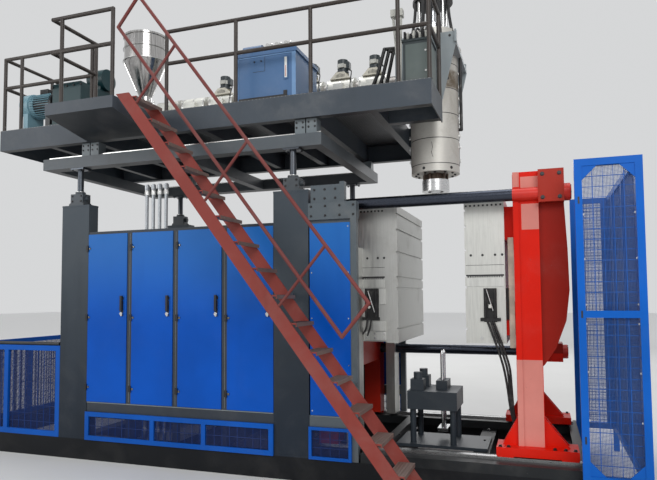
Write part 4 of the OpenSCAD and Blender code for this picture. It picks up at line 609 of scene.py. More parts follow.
def screen(part, level, start, end, plane, z0, z1):
    """Woven wire in an upright opening: level 0 spans along X at Y = plane, level 1 along Y at X = plane."""
    def wire(a0, a1, shift, low, high):
        across = (plane + shift - WIRE / 2, plane + shift + WIRE / 2)
        if level == 0:
            part.box(a0, a1, *across, low, high)
        else:
            part.box(*across, a0, a1, low, high)
    for a in spread(start, end, max(3, round((end - start) / MESH)))[1:-1]:
        wire(a - WIRE / 2, a + WIRE / 2, 0, z0, z1)
    for z in spread(z0, z1, max(3, round((z1 - z0) / MESH)))[1:-1]:
        wire(start, end, WIRE, z - WIRE / 2, z + WIRE / 2)


def add_left_guard_mesh():
    """Wire in the two bays of the front and the rear, and the two of the left side."""
    low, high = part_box("left_guard")
    part = Part("left_guard_mesh", mesh_navy)
    zone = (low.z + GUARD_BAR, GUARD_TOP - GUARD_BAR)
    centre = (low.x + high.x) / 2
    for y in (low.y + 0.028, high.y - 0.028):
        screen(part, 0, low.x + GUARD_BAR, centre - GUARD_BAR / 2, y, *zone)
        screen(part, 0, centre + GUARD_BAR / 2, high.x - GUARD_BAR, y, *zone)
    screen(part, 1, low.y + 0.1, -GUARD_BAR / 2, low.x + 0.028, *zone)
    screen(part, 1, GUARD_BAR / 2, high.y - 0.1, low.x + 0.028, *zone)
    part.done()


def add_lower_panel_mesh():
    """Wire in the three bays of the long lower panels and the one of the narrow panels."""
    low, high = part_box("lower_panels")
    part = Part("lower_panel_mesh", mesh_navy)
    posts = [post + side * PANEL_BAR / 2 for post in (-0.735, -0.1058) for side in BOTH]
    edges = [low.x + PANEL_BAR, *posts, 0.69 - PANEL_BAR]
    for y in (low.y + 0.015, high.y - 0.015):
        for a, b in zip(edges[::2], edges[1::2]):
            screen(part, 0, a, b, y, low.z + PANEL_BAR, high.z - PANEL_BAR)
        screen(part, 0, 1.1, high.x - NARROW_BAR, y, low.z + NARROW_BAR, high.z - NARROW_BAR)
    part.done()


def add_right_guard_mesh():
    """Wire in the two leaves of the front, the three bays of the side and the rear bay."""
    part = Part("right_guard_mesh", mesh_blue)
    plane = -1.219
    z0, z1 = 0.25 + GUARD_BAR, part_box("right_guard")[1].z - GUARD_BAR
    for a, b in ((z0, 1.61), (1.67, z1)):
        screen(part, 0, 3.537 + GUARD_BAR, 4.063 - GUARD_BAR, plane, a, b)
    for a, b in ((-1.19, -0.33), (-0.27, 0.53), (0.59, 1.06)):
        screen(part, 1, a, b, 4.028, z0, z1)
    screen(part, 0, 3.664, 4.003, 1.086, z0, z1)
    part.done()


# Drive and gearbox at the platform's left end

MOTOR_AXIS = (-0.9, 4.19)
MOTOR_R = 0.14


def add_motor():
    """Cooling fins, fan cowl with its grille, a plate on top and the flange bolts."""
    low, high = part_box("drive_motor")
    axis = Vector(MOTOR_AXIS)
    fins = deck_part("motor_fins", LOOKS["drive_motor"])
    for dy, dz in circle(32, 1.0):
        if dz > 0.75:
            continue
        side = Vector((-dz, dy)) * 0.0018
        foot = axis + Vector((dy, dz)) * (MOTOR_R - 0.004)
        tip = axis + Vector((dy, dz)) * (MOTOR_R + 0.014)
        fins.prism((foot - side, foot + side, tip + side, tip - side), 0, -2.62, -2.32)
    fins.done()
    cowl = deck_part("motor_cowl", LOOKS["drive_motor"])
    cowl.stud((low.x - 0.002, *MOTOR_AXIS), RIGHT, 0.122, MOTOR_R + 0.016, 40)
    cowl.box(-2.5, -2.44, axis.x - 0.05, axis.x + 0.05, high.z - 0.004, high.z + 0.006)
    cowl.done(0.004)
    dark = deck_part("motor_grille", dark_bolt)
    for inner in spread(0.03, 0.118, 5):
        dark.ring((low.x - 0.003, *MOTOR_AXIS), RIGHT, inner + 0.006, inner, 0.003)
    dark.bolt_circle((-2.3, *MOTOR_AXIS), RIGHT, 8, 0.118, 0.014, 0.2)
    dark.done()


def add_gearbox():
    """Bolts along the cover and round the flange of the barrel."""
    low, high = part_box("gearbox")
    bolts = deck_part("gearbox_bolts", dark_bolt)
    bolts.bolt_grid(spread(low.x + 0.03, high.x - 0.03, 5), -1.05, (4.02, 4.34), FRONT, 0.018)
    bolts.bolt_circle((high.x, *SCREW_AXIS), RIGHT, 10, 0.135, 0.018, 0.1)
    bolts.done()


# Hopper

def add_hopper():
    """Bands round the shell and bolts of the flange."""
    low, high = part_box("hopper")
    centre = (HOPPER_X, (low.y + high.y) / 2)
    radius = (high.x - low.x) / 2
    rings = deck_part("hopper_rings", hopper_band)
    rings.ring((*centre, high.z - 0.345), UP, radius + 0.002, radius - 0.006, 0.012, 64)
    rings.ring((*centre, high.z - 0.18), UP, radius + 0.0015, radius - 0.006, 0.004, 64)
    rings.done()
    bolts = deck_part("hopper_bolts", bright_steel)
    bolts.bolt_circle((*centre, low.z + 0.03), UP, 8, 0.115, 0.016, 0.3)
    bolts.done()


def add_hopper_strip():
    """Bright inclined strip that lies on the cone."""
    strip = deck_part("hopper_strip", bright_steel)
    out = Vector((-0.8, -0.6, 0))
    side = Vector((0.6, -0.8, 0))
    rows = []
    for z, reach, half in ((4.925, 0.272, 0.03), (4.56, 0.11, 0.016)):
        for lift in (0.004, 0.016):
            middle = Vector((HOPPER_X, 0, z)) + out * (reach + lift)
            rows.append((strip.bm.verts.new(middle - side * half), strip.bm.verts.new(middle + side * half)))
    (a, b), (c, d), (e, f), (g, h) = rows
    for face in ((a, b, d, c), (e, g, h, f), (a, c, g, e), (b, f, h, d), (c, d, h, g), (a, e, f, b)):
        strip.bm.faces.new(face)
    strip.done(0.002)


# Barrel

ZONE_PITCH = 0.393
FIRST_BAND = -1.266
FIRST_BLOWER = -0.48
CABLE_FOOT = 3.858


def add_barrel():
    """Clamps and cables of the heater bands."""
    y, z = SCREW_AXIS
    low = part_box("heater_bands")[0]
    clamps = deck_part("heater_clamps", bright_steel)
    cables = deck_part("heater_cables", rubber)
    for k in range(8):
        x = FIRST_BAND + ZONE_PITCH * k
        for edge in (-0.15, 0.0, 0.15):
            clamps.ring((x + edge, y, z), RIGHT, 0.1475, 0.144, 0.016, 40)
        for edge in (-0.15, 0.15):
            clamps.stud((x + edge, -0.135, z + 0.065), FRONT, 0.025, 0.006, 8)
        cables.hose([(x + 0.04, low.y + 0.02, z - 0.036), (x + 0.05, low.y, z - 0.12),
                     (x + 0.02, low.y + 0.02, z - 0.24), (x - 0.02, low.y + 0.03, CABLE_FOOT)], 0.009)
    clamps.done()
    cables.done()


def add_blowers():
    """Bands, grilles, air slots and leads of the blowers on the barrel."""
    y = SCREW_AXIS[0]
    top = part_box("barrel_blowers")[1].z
    bands = deck_part("blower_bands", pale_plastic)
    guards = deck_part("blower_guards", dark_bolt)
    leads = deck_part("blower_leads", rubber)
    for k in range(6):
        x = FIRST_BLOWER + ZONE_PITCH * k
        bands.ring((x, y, top - 0.08), UP, 0.0655, 0.061, 0.045, 32)
        bands.box(x - 0.035, x + 0.035, y - 0.082, y - 0.06, top - 0.105, top - 0.06)
        for inner in spread(0.014, 0.053, 4):
            guards.ring((x, y, top + 0.001), UP, inner + 0.004, inner, 0.004, 28)
        for i in range(-3, 4):
            slot = x + i * 0.016
            guards.box(slot - 0.003, slot + 0.003, y - 0.112, y - 0.1095, 4.372, 4.418 - abs(i) * 0.006)
        leads.hose([(x + 0.085, y, top - 0.12), (x + 0.12, y - 0.05, top - 0.16),
                    (x + 0.13, y - 0.12, top - 0.28), (x + 0.125, y - 0.165, 4.1),
                    (x + 0.12, y - 0.19, CABLE_FOOT)], 0.007)
    bands.done(0.001)
    guards.done()
    leads.done()


# Hydraulic power unit

def add_power_unit():
    """Pale edges, door seams, level gauge and the pipes on top."""
    x0, x1, y0 = 0.18, 0.88, -0.96
    z0, z1 = 3.909, 4.39
    edges = deck_part("unit_frame", unit_edge)
    for a, b, low in ((x0, x0 + 0.028, z0), (x1 - 0.045, x1, z0), (x0 + 0.028, x1 - 0.045, z1 - 0.014)):
        edges.box(a, b, y0 - 0.006, y0 + 0.001, low, z1)
    edges.done(0.0015)
    seams = deck_part("unit_seams", dark_bolt)
    seams.box(x0 + 0.34, x0 + 0.344, y0 - 0.0015, y0 + 0.002, z1 - 0.17, z1 - 0.014)
    seams.box(x0 + 0.2, x0 + 0.344, y0 - 0.0015, y0 + 0.002, z1 - 0.174, z1 - 0.17)
    seams.box(x0 + 0.035, x1 - 0.1, y0 - 0.008, y0 + 0.002, z0 + 0.004, z0 + 0.03)
    seams.box(x1 - 0.14, x1 - 0.1, y0 - 0.008, y0 + 0.002, z0 + 0.03, z0 + 0.072)
    for x in (x0 + 0.3, x0 + 0.22):
        seams.stud((x, y0 - 0.008, z1 - 0.06), REAR, 0.01, 0.008)
    seams.done()
    gauge = deck_part("unit_gauge", gauge_glass)
    gauge.box(x1 - 0.124, x1 - 0.096, y0 - 0.0145, y0 - 0.011, z0 + 0.205, z1 - 0.055)
    gauge.done(0.001)
    mark = deck_part("unit_gauge_mark", red_plastic)
    mark.box(x1 - 0.1125, x1 - 0.1075, y0 - 0.0155, y0 - 0.014, z0 + 0.215, z0 + 0.335)
    mark.done()
    pipes = deck_part("unit_pipes", bright_steel)
    for x in (x0 + 0.36, x0 + 0.47, x0 + 0.58):
        pipes.hose([(x, y0 + 0.19, 4.47), (x, y0 + 0.24, 4.5), (x + 0.01, y0 + 0.3, 4.47),
                    (x + 0.01, y0 + 0.32, 4.425)], 0.01)
        pipes.bolt_grid((x - 0.02, x + 0.02), y0 + 0.1, 4.537, UP, 0.016)
    pipes.done()


# Extrusion head and its bracket

HEAD_TOP = 4.544


def outward(turn):
    """Direction away from the head's axis, turned from the front towards the right."""
    return Vector((math.sin(turn), -math.cos(turn), 0))


def add_head():
    """Seams and plugs, heater clamps, rising hoses and flange bolts."""
    seams = deck_part("head_seams", dark_bolt)
    clamps = deck_part("head_clamps", bright_steel)
    for z in (3.237, 3.515, 3.788, 4.066, 4.344):
        seams.ring((HEAD_X, 0, z), UP, HEAD_R + 0.0012, HEAD_R - 0.01, 0.007, 72)
    for z0, z1 in ((3.25, 3.502), (3.528, 3.775), (3.801, 4.053), (4.079, 4.331)):
        for out in map(outward, (-1.35, 1.75, 3.4)):
            foot = Vector((HEAD_X, 0, z0)) + out * (HEAD_R + 0.001)
            seams.stud(foot, UP, z1 - z0, 0.004, 6)
            side = Vector((out.y, -out.x, 0)) * 0.03
            for rise in (0.05, z1 - z0 - 0.05):
                spot = foot + out * 0.008 + Vector((0, 0, rise))
                clamps.rod(spot - side, spot + side, 0.005, 8)
                for x, y, z in (spot - side * 0.75, spot + side * 0.75):
                    clamps.box(x - 0.008, x + 0.008, y - 0.008, y + 0.008, z - 0.012, z + 0.012)
    for turn, z in ((-0.33, 3.19), (0.857, 3.19), (2.4, 3.19), (-1.9, 3.19), (0.75, 4.17)):
        out = outward(turn)
        seams.stud(Vector((HEAD_X, 0, z)) + out * (HEAD_R - 0.004), out, 0.0052, 0.017, 24)
    front = -HEAD_R - 0.0002
    for low, high, shift in ((3.3, 3.36, 0.01), (3.355, 3.42, -0.006), (3.415, 3.47, 0.006)):
        seams.rod((HEAD_X + 0.008 + shift, front, low), (HEAD_X + 0.01 - shift, front, high), 0.0022, 6)
    seams.done()
    clamps.done()
    risers = deck_part("head_risers", rubber)
    for turn, radius in ((-1.0, 0.017), (-0.35, 0.02), (0.05, 0.014), (0.45, 0.02), (1.1, 0.017),
                         (2.6, 0.018), (3.6, 0.018)):
        out = outward(turn)
        foot = Vector((HEAD_X, 0, HEAD_TOP)) + out * 0.262
        top = Vector((HEAD_X, 0, 5.111)) + out * 0.203
        risers.hose([foot, foot + Vector((0, 0, 0.12)), top - Vector((0, 0, 0.22)) + out * 0.02, top], radius)
    risers.done()
    bolts = deck_part("head_bolts", dark_bolt)
    bolts.bolt_circle((HEAD_X, 0, HEAD_TOP + 0.001), UP, 16, 0.287, 0.022, 0.1)
    bolts.bolt_circle((HEAD_X, 0, 3.153), DOWN, 12, 0.215, 0.02, 0.13)
    bolts.done()


def add_bracket():
    """Bolts and raised rims on both cheeks of the head's bracket."""
    bolts = deck_part("bracket_bolts", dark_bolt)
    rims = deck_part("bracket_rims", LOOKS["head_bracket"])
    for side in BOTH:
        bolts.bolt_grid((1.9, 2.05, 2.2), side * 0.49, (3.68, 3.78), (0, side, 0), 0.022)
        bolts.bolt_grid((1.92, 2.1, 2.28, 2.42), side * 0.49, 4.515, (0, side, 0), 0.018)
        y = side * 0.485
        rims.rod((2.33, y, 3.849), (2.479, y, 4.445), 0.006, 8)
        rims.rod((1.841, y, 4.553), (2.479, y, 4.553), 0.006, 8)
        rims.rod((1.841, y, 3.86), (1.841, y, 4.553), 0.006, 8)
    bolts.done()
    rims.done()


# Cabinet: doors, posts, rear and roof sheets, fittings of the riser pipes

SEAL = 0.012
LOCK_Z = 1.632


def add_door(k):
    """Lock on its plate, rivets and rubber seal of one door."""
    body = f"door_{k}"
    x0, x1 = door_left(k), door_left(k) + DOOR_WIDTH
    x = x0 + 0.4665
    skin = DOOR_FRONT - 0.004
    plate = Part(f"door_{k}_lock_plate", handle_black, body)
    plate.box(x - 0.017, x + 0.017, skin, DOOR_FRONT + 0.001, 1.605, 1.77)
    plate.done(0.002)
    lock = Part(f"door_{k}_lock", bright_steel, body)
    lock.stud((x, skin, LOCK_Z), FRONT, 0.018, 0.018, 24)
    chin = ((-0.018, 0), (-0.012, 0.02), (0, 0.03), (0.012, 0.02), (0.018, 0))
    lock.prism([(x + dx, LOCK_Z - drop) for dx, drop in chin], 1, DOOR_FRONT - 0.018, DOOR_FRONT - 0.003)
    lock.done(0.0015)
    rivets = Part(f"door_{k}_rivets", bright_steel, body)
    for z in (1.62, 1.755):
        rivets.stud((x - 0.011, skin, z), FRONT, 0.0015, 0.003, 10)
    for z, dx, dz in product((0.808, 1.5885, 2.369), (0.014, 0.024), (-0.006, 0.006)):
        rivets.stud((x0 + dx, skin, z + dz), FRONT, 0.0015, 0.0028, 10)
    rivets.done()
    seal = Part(f"door_{k}_seal", rubber, body)
    a, b = x0 + SEAL, x1 - SEAL
    low, high = 0.648 + SEAL, 2.529 - SEAL
    for left, right, foot, top in ((a, b, high - SEAL, high), (a, b, low, low + SEAL),
                                   (a, a + SEAL, low + SEAL, high - SEAL),
                                   (b - SEAL, b, low + SEAL, high - SEAL)):
        seal.box(left, right, DOOR_FRONT + 0.002, DOOR_REAR - 0.001, foot, top)
    seal.done()


POSTS = (-1.0535, -0.461, 0.1315)
RISERS = (-0.921, -0.837, -0.753, -0.669)
RISER_Y = -1.0
SIDE_FACE = 1.122


def add_pale_lines():
    """Thin pale strips: on the posts between the doors a painted highlight where light catches the doors'
    edges, and on the sills.
    """
    pale_lines = Part("post_pale_lines", pale_line_grey)
    # Painted highlight: a pale line down each post, for the light catching the doors' edges.
    for x in POSTS:
        pale_lines.box(x - 0.002, x + 0.002, -1.1165, -1.1135, 0.66, 2.52)
    for x0, x1 in ((-1.615, 0.685), (1.088, 1.503)):
        pale_lines.box(x0, x1, -1.1175, -1.1135, 0.634, 0.6435)
    pale_lines.done()


def add_cabinet_sheets():
    """Screwed sheets of the rear wall and seams of the roof."""
    rear = Part("rear_sheets", LOOKS["cabinet_shell"])
    screws = Part("rear_screws", bright_steel)
    edges = spread(-1.612, 0.682, 5)
    for a, b in zip(edges, edges[1:]):
        rear.box(a + 0.004, b - 0.004, 1.1165, 1.1195, 0.56, 2.54)
        for x, z in product((a + 0.022, b - 0.022), spread(0.6, 2.5, 6)):
            screws.stud((x, 1.1195, z), REAR, 0.003, 0.006, 12)
    rear.done(0.001)
    screws.done()
    roof = Part("roof_seams", LOOKS["cabinet_shell"])
    for x in POSTS:
        roof.box(x - 0.02, x + 0.02, -0.9, 1.04, 2.559, 2.563)
    roof.done(0.001)


def add_riser_fittings():
    """Nuts, collars and foot bolts of the four riser pipes."""
    ends = Part("riser_fittings", bright_steel)
    for x in RISERS:
        for z in (0.36, 1.5, 2.98):
            ends.stud((x, RISER_Y, z - 0.02), UP, 0.04, 0.0285, 6)
            ends.stud((x, RISER_Y, z + 0.02), UP, 0.014, 0.024)
        ends.bolt_circle((x, RISER_Y, 0.239), UP, 4, 0.029, 0.008, 0.78)
    ends.done()


def add_side_and_header():
    """Screws of the side panels and bolts of the header over the clamp."""
    screws = Part("side_panel_screws", bright_steel)
    header = Part("header_bolts", dark_bolt)
    header.bolt_grid((1.13, 1.24, 1.35), -1.1, (2.78, 2.87), FRONT, 0.016)
    for side in BOTH:
        axis = (0, side, 0)
        for x, z in product((1.105, 1.485), spread(0.69, 2.49, 5)):
            screws.stud((x, side * SIDE_FACE, z), axis, 0.0025, 0.007, 12)
        header.bolt_grid((1.1, 1.25, 1.4, 1.54), side * 1.12, (2.605, 2.7), axis, 0.016)
    screws.done()
    header.done()


# Columns with their screw jacks, lift beams, slide blocks, stair and platform

COLUMNS_X = (-1.81, 0.88)
COLUMNS_Y = 1.045
STEPS = 15
STEP_BACK = 0.189
STEP_UP = 0.248


def add_columns():
    """Bolts, weld beads and jack seals of the columns, and the bolts under the screws' flanges."""
    bolts = Part("column_bolts", dark_bolt)
    bands = Part("column_welds", LOOKS["columns"])
    lifted = Part("screw_flange_bolts", dark_bolt, "lift")
    cups = Part("jack_seals", bright_steel)
    for x, side in product(COLUMNS_X, BOTH):
        y = side * COLUMNS_Y
        bolts.bolt_grid((x - 0.094, x + 0.094), (y - 0.055, y + 0.055), 2.9, UP, 0.016)
        bolts.bolt_grid((x - 0.06, x + 0.06), side * 1.11, (2.93, 2.99), (0, side, 0), 0.016)
        bolts.bolt_circle((x + 0.119, y, 2.96), RIGHT, 6, 0.019, 0.006)
        lifted.bolt_grid((x - 0.075, x + 0.075), (y - 0.052, y + 0.052), 3.303, DOWN, 0.018)
        cups.ring((x, y, 3.043), UP, 0.052, 0.0362, 0.006, 40)
        for edge in (y - 0.0755, y + 0.0755):
            for z0, z1 in ((0.225, 0.24), (2.862, 2.879)):
                bands.box(x - 0.192, x + 0.192, edge - 0.002, edge + 0.002, z0, z1)
    bolts.done()
    bands.done()
    lifted.done()
    cups.done()


def add_lift():
    """Weld beads where the cross beams meet the long ones."""
    welds = Part("lift_welds", LOOKS["lift_beams"], "lift")
    for x, y in product((-2.29, -2.2, -0.51, -0.42, 1.115, 1.205), (-0.968, 0.968)):
        welds.rod((x, y, 3.33), (x, y, 3.445), 0.004, 6)
    welds.done()


def add_slides():
    """Bolts on the outer faces of the slide blocks."""
    low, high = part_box("slide_blocks")
    bolts = deck_part("slide_bolts", dark_bolt)
    for centre, pair in product((-1.629, 1.044), (-0.065, 0.065)):
        x = centre + pair
        for y, axis in ((low.y, FRONT), (high.y, REAR)):
            bolts.bolt_grid((x - 0.034, x + 0.034), y, (low.z + 0.065, low.z + 0.115), axis, 0.014)
    bolts.done()


def add_stair():
    """Grip bars on the treads and weld beads at their ends."""
    grips = Part("tread_grips", metal("tread_worn", (0.2, 0.15, 0.13), 0.5, (20, 1, 1), 0.3))
    welds = Part("tread_welds", LOOKS["stair"])
    for k in range(STEPS):
        x, z = 2.086 - STEP_BACK * k, 0.333 + STEP_UP * k
        for bar in spread(x - 0.055, x + 0.057, 5):
            grips.box(bar - 0.004, bar + 0.004, -1.78, -1.376, z - 0.001, z + 0.0025)
        for y in (-1.796, -1.36):
            welds.rod((x - 0.07, y, z - 0.01), (x + 0.07, y, z - 0.01), 0.005, 6)
    grips.done()
    welds.done()


def add_platform():
    """Feet of the handrail's posts and joints between the deck plates."""
    feet = deck_part("post_feet", LOOKS["platform_handrail"])
    rows = [(x, -1.13) for x in (-2.904, -2.646, -1.6, -1.545, -0.589, 0.265, 1.11, 2.011, 2.31)]
    rows += [(x, 1.13) for x in (-1.9, -0.9, 0.1, 1.1, 2.07)]
    for x, y in rows:
        feet.stud((x, y, DECK - 0.002), UP, 0.008, 0.0265, 24)
    feet.done(0.001)
    seams = deck_part("deck_seams", dark_bolt)
    for x in (-2.26, -1.59, -0.9, -0.2, 0.46, 1.084):
        for a, b in ((-1.08, -1.06), (0.33, 1.1)):
            seams.box(x - 0.0015, x + 0.0015, a, b, DECK, DECK + 0.0006)
    seams.done()


# Clamp: what sits on the platens' faces, hoses, and the bolts and welds of the yokes

NEAR = -0.7


def add_platen_face(name, body, x0, x1, holes):
    """Holes, grooves, slots and a bright plate on both faces of one platen."""
    marks = Part(f"platen_{name}_marks", dark_bolt, body)
    pads = Part(f"platen_{name}_plates", bright_plate, body)
    for side in BOTH:
        face = -side * NEAR
        skin = sorted((face - side * 0.001, face + side * 0.0012))
        for x in holes:
            marks.rod((x, face - side * 0.002, 2.195), (x, face + side * 0.0015, 2.195), 0.012, 20)
        marks.box(x0 + 0.01, x1 - 0.01, *skin, 2.096, 2.1)
        marks.box(x0 + 0.01, x1 - 0.01, *skin, 1.99, 2.006)
        for x in spread(x0 + 0.03, x1 - 0.03, 15):
            marks.box(x - 0.006, x + 0.006, *skin, 1.978, 1.99)
        for x in spread(x0 + 0.02, x1 - 0.03, 9):
            marks.box(x - 0.009, x + 0.009, *skin, 2.672, 2.69)
        pads.box(x0 + 0.012, x1 - 0.012, *sorted((face - side * 0.001, face + side * 0.006)), 1.89, 1.974)
    marks.done()
    pads.done(0.001)


def near_box(part, x0, x1, out, z0, z1, gap=-0.001):
    """A box before the near face of a platen, from a gap (or sunk in it) to that far out."""
    part.box(x0, x1, NEAR - out, NEAR - gap, z0, z1)


def add_left_platen():
    """Plates, a bracket with its strut and knob, bolts and leads on the near face."""
    left = Part("platen_left_pieces", bright_plate, "clamp_left")
    near_box(left, 1.683, 1.752, 0.014, 1.72, 1.88)
    near_box(left, 1.62, 1.752, 0.022, 1.45, 1.55)
    near_box(left, 1.522, 1.752, 0.018, 1.356, 1.445)
    left.done(0.002)
    bracket = Part("platen_left_bracket", recess_black, "clamp_left")
    near_box(bracket, 1.534, 1.679, 0.012, 1.564, 1.883)
    near_box(bracket, 1.548, 1.566, 0.04, 1.59, 1.875, 0.01)
    near_box(bracket, 1.646, 1.664, 0.04, 1.59, 1.875, 0.01)
    near_box(bracket, 1.5, 1.69, 0.02, 1.558, 1.59)
    bracket.done(0.002)
    bits = Part("platen_left_bits", bright_steel, "clamp_left")
    bits.rod((1.57, NEAR - 0.026, 1.86), (1.64, NEAR - 0.026, 1.64), 0.007, 12)
    bits.bolt_grid((1.545, 1.64, 1.735), NEAR - 0.018, (1.378, 1.424), FRONT, 0.016)
    bits.done()
    knob = Part("platen_left_knob", white_paint, "clamp_left")
    knob.stud((1.585, NEAR - 0.012, 1.691), FRONT, 0.034, 0.013, 24)
    knob.done(0.003)
    leads = Part("platen_left_leads", rubber, "clamp_left")
    leads.hose([(1.56, NEAR - 0.012, 1.575), (1.545, NEAR - 0.022, 1.47), (1.5, NEAR - 0.02, 1.41),
                (1.47, NEAR - 0.01, 1.372)], 0.01)
    leads.hose([(1.6, NEAR - 0.012, 1.575), (1.59, NEAR - 0.026, 1.49), (1.575, NEAR - 0.024, 1.44),
                (1.56, NEAR - 0.016, 1.4)], 0.009)
    leads.done()


def add_right_platen():
    """A bracket with its strut and knob, bolts, hoses and the pale strip beside the yoke."""
    bracket = Part("platen_right_bracket", recess_black, "clamp_right")
    near_box(bracket, 2.724, 2.846, 0.012, 1.548, 1.872)
    near_box(bracket, 2.732, 2.748, 0.04, 1.59, 1.865, 0.01)
    near_box(bracket, 2.822, 2.838, 0.04, 1.59, 1.865, 0.01)
    near_box(bracket, 2.69, 2.88, 0.02, 1.555, 1.588)
    bracket.box(2.931, 2.956, -0.682, -0.655, 1.568, 1.873)
    bracket.done(0.002)
    bits = Part("platen_right_bits", bright_steel, "clamp_right")
    bits.rod((2.752, NEAR - 0.026, 1.86), (2.812, NEAR - 0.026, 1.655), 0.007, 12)
    bits.bolt_grid((2.7, 2.8), NEAR, 1.392, FRONT, 0.02)
    bits.done()
    knob = Part("platen_right_knob", white_paint, "clamp_right")
    near_box(knob, 2.77, 2.8, 0.048, 1.682, 1.716, 0.01)
    knob.done(0.003)
    strip = Part("yoke_strip", cream_strip, "clamp_right")
    strip.box(2.957, 3.01, -0.672, -0.659, 1.3, 2.36)
    strip.done(0.002)
    leads = Part("clamp_hoses", rubber, "clamp_right")
    for shift in (0.0, 0.03, 0.055):
        leads.hose([(2.752 + shift, NEAR - 0.008, 1.565), (2.8 + shift, NEAR - 0.03, 1.433),
                    (2.845 + shift, NEAR - 0.034, 1.3), (2.895 + shift, NEAR - 0.024, 1.122),
                    (2.925 + shift * 0.7, NEAR - 0.012, 0.935), (2.945 + shift * 0.5, NEAR - 0.006, 0.76),
                    (2.975 + shift * 0.3, NEAR - 0.004, 0.6)], 0.011)
    leads.done()


def add_yokes():
    """Bolts and weld beads of the right yoke and bolts of the clamp's cylinder."""
    bolts = Part("yoke_bolts", dark_bolt, "clamp_right")
    bolts.bolt_grid((3.285, 3.43), -0.945, (2.69, 2.905), FRONT, 0.024)
    bolts.bolt_grid((2.862, 2.935, 3.33, 3.42, 3.5), (-0.925, 0.925), 0.428, UP, 0.026)
    bolts.bolt_circle((3.522, -0.875, 2.738), RIGHT, 6, 0.068, 0.012, 0.2)
    bolts.bolt_circle((3.522, 0.825, 1.15), RIGHT, 6, 0.068, 0.012, 0.2)
    bolts.done()
    welds = Part("yoke_welds", LOOKS["yoke_right"], "clamp_right")
    for x, y in product((3.022, 3.247), (-0.857, 0.857)):
        welds.rod((x, y, 0.43), (x, y, 2.93), 0.004, 6)
    welds.done()
    cylinder = Part("clamp_cylinder_bolts", dark_bolt, "clamp_right")
    cylinder.bolt_circle((1.072, 0, 1.94), LEFT, 12, 0.183, 0.024, 0.1)
    cylinder.done()


# Blow station, right guard and switch box

def add_station():
    """Bolts at the corners of the blow station's foot plate."""
    bolts = Part("station_bolts", dark_bolt)
    low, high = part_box("blow_station")
    bolts.bolt_grid((low.x + 0.03, high.x - 0.03), (low.y + 0.03, high.y - 0.03), 0.331, UP, 0.02)
    bolts.done()


def add_guard_fittings():
    """Foot bolts and hinge plates of the right guard, and the clips that hold its wire."""
    feet = Part("guard_feet_bolts", dark_bolt)
    for x in (3.567, 4.033):
        feet.bolt_grid((x - 0.042, x + 0.042), (-1.262, -1.178), 0.01, UP, 0.014)
    for z in (0.6, 1.64, 2.6):
        feet.box(3.56, 3.574, -1.2515, -1.248, z - 0.03, z + 0.03)
    feet.done()
    clips = Part("mesh_clips", bright_steel)
    for x, z in product((3.6, 4.0), spread(0.36, 1.56, 4) + spread(1.72, 2.86, 4)):
        clips.box(x - 0.008, x + 0.008, -1.2225, -1.216, z - 0.008, z + 0.008)
    clips.done(0.001)


def add_switch_box():
    """Door with its catches, the fittings on top and the conduits to the head."""
    door = deck_part("box_door", paint("box_door_green", (0.1, 0.125, 0.12), 0.45))
    door.box(2.055, 2.275, -1.005, -0.999, 3.9, 4.26)
    door.box(2.305, 2.3055, -0.97, -0.72, 3.9, 4.25)
    door.done(0.0015)
    catch = deck_part("box_catches", bright_steel)
    for z in (3.98, 4.18):
        catch.stud((2.255, -1.005, z), FRONT, 0.009, 0.01, 20)
    catch.done()
    pale = deck_part("box_top_pale", strut_pale)
    dark = deck_part("box_top_dark", recess_black)
    for i, x in enumerate(spread(2.045, 2.285, 9)):
        part = pale if i % 2 else dark
        part.box(x - 0.01, x + 0.01, -0.985, -0.93, 4.311, 4.4 - 0.012 * (i % 3))
    pale.box(2.035, 2.295, -0.925, -0.905, 4.311, 4.35)
    pale.done(0.001)
    dark.done(0.001)
    conduits = deck_part("box_conduits", rubber)
    for i in range(3):
        x = 2.1 + 0.05 * i
        conduits.hose([(x, -0.8, 4.311), (x, -0.79, 4.42), (x + 0.01, -0.66, 4.56),
                       (2.12 + 0.03 * i, -0.45, 4.6), (2.13 + 0.03 * i, -0.33, 4.552),
                       (2.14 + 0.02 * i, -0.29, 4.546)], 0.011)
    conduits.done()


add_left_guard_mesh()
add_lower_panel_mesh()
add_right_guard_mesh()
for k in DOORS:
    add_door(k)
add_pale_lines()
add_cabinet_sheets()
add_riser_fittings()
add_side_and_header()
add_columns()
add_lift()
add_slides()
add_stair()
add_platform()
add_motor()
add_gearbox()
add_hopper()
add_hopper_strip()
add_barrel()
add_blowers()
add_power_unit()
add_switch_box()
add_bracket()
add_head()
add_platen_face("left", "clamp_left", 1.402, 1.755, (1.462, 1.562, 1.674, 1.74))
add_platen_face("right", "clamp_right", 2.551, 2.929, (2.61, 2.721, 2.839, 2.905))
add_left_platen()
add_right_platen()
add_yokes()
add_station()
add_guard_fittings()


# Studio: floor, lamps, world and camera

FLOOR_REACH = 60


def floor_look():
    """Pale floor that grows paler towards the backdrop."""
    look = Look("floor_pale")
    away = look.add("ShaderNodeVectorMath", operation="LENGTH")
    look.link(look.space, away.inputs[0])
    shade_near = look.mix(look.steps(look.noise(0.35, 4), 0.3, 0.7), (0.66, 0.66, 0.65), (0.7, 0.7, 0.69))
    base = look.mix(look.steps(away.outputs["Value"], 5.0, 26.0), shade_near, (0.97, 0.97, 0.97))
    return look.finish(base, look.steps(look.noise(3.0, 3), 0.2, 0.8, 0.82, 0.92))


def add_floor():
    mesh = bpy.data.meshes.new("floor")
    corners = [(x * FLOOR_REACH, y * FLOOR_REACH, 0) for x, y in ((-1, -1), (1, -1), (1, 1), (-1, 1))]
    mesh.from_pydata(corners, [], [(0, 1, 2, 3)])
    floor = bpy.data.objects.new("floor", mesh)
    scene.collection.objects.link(floor)
    mesh.materials.append(floor_look())


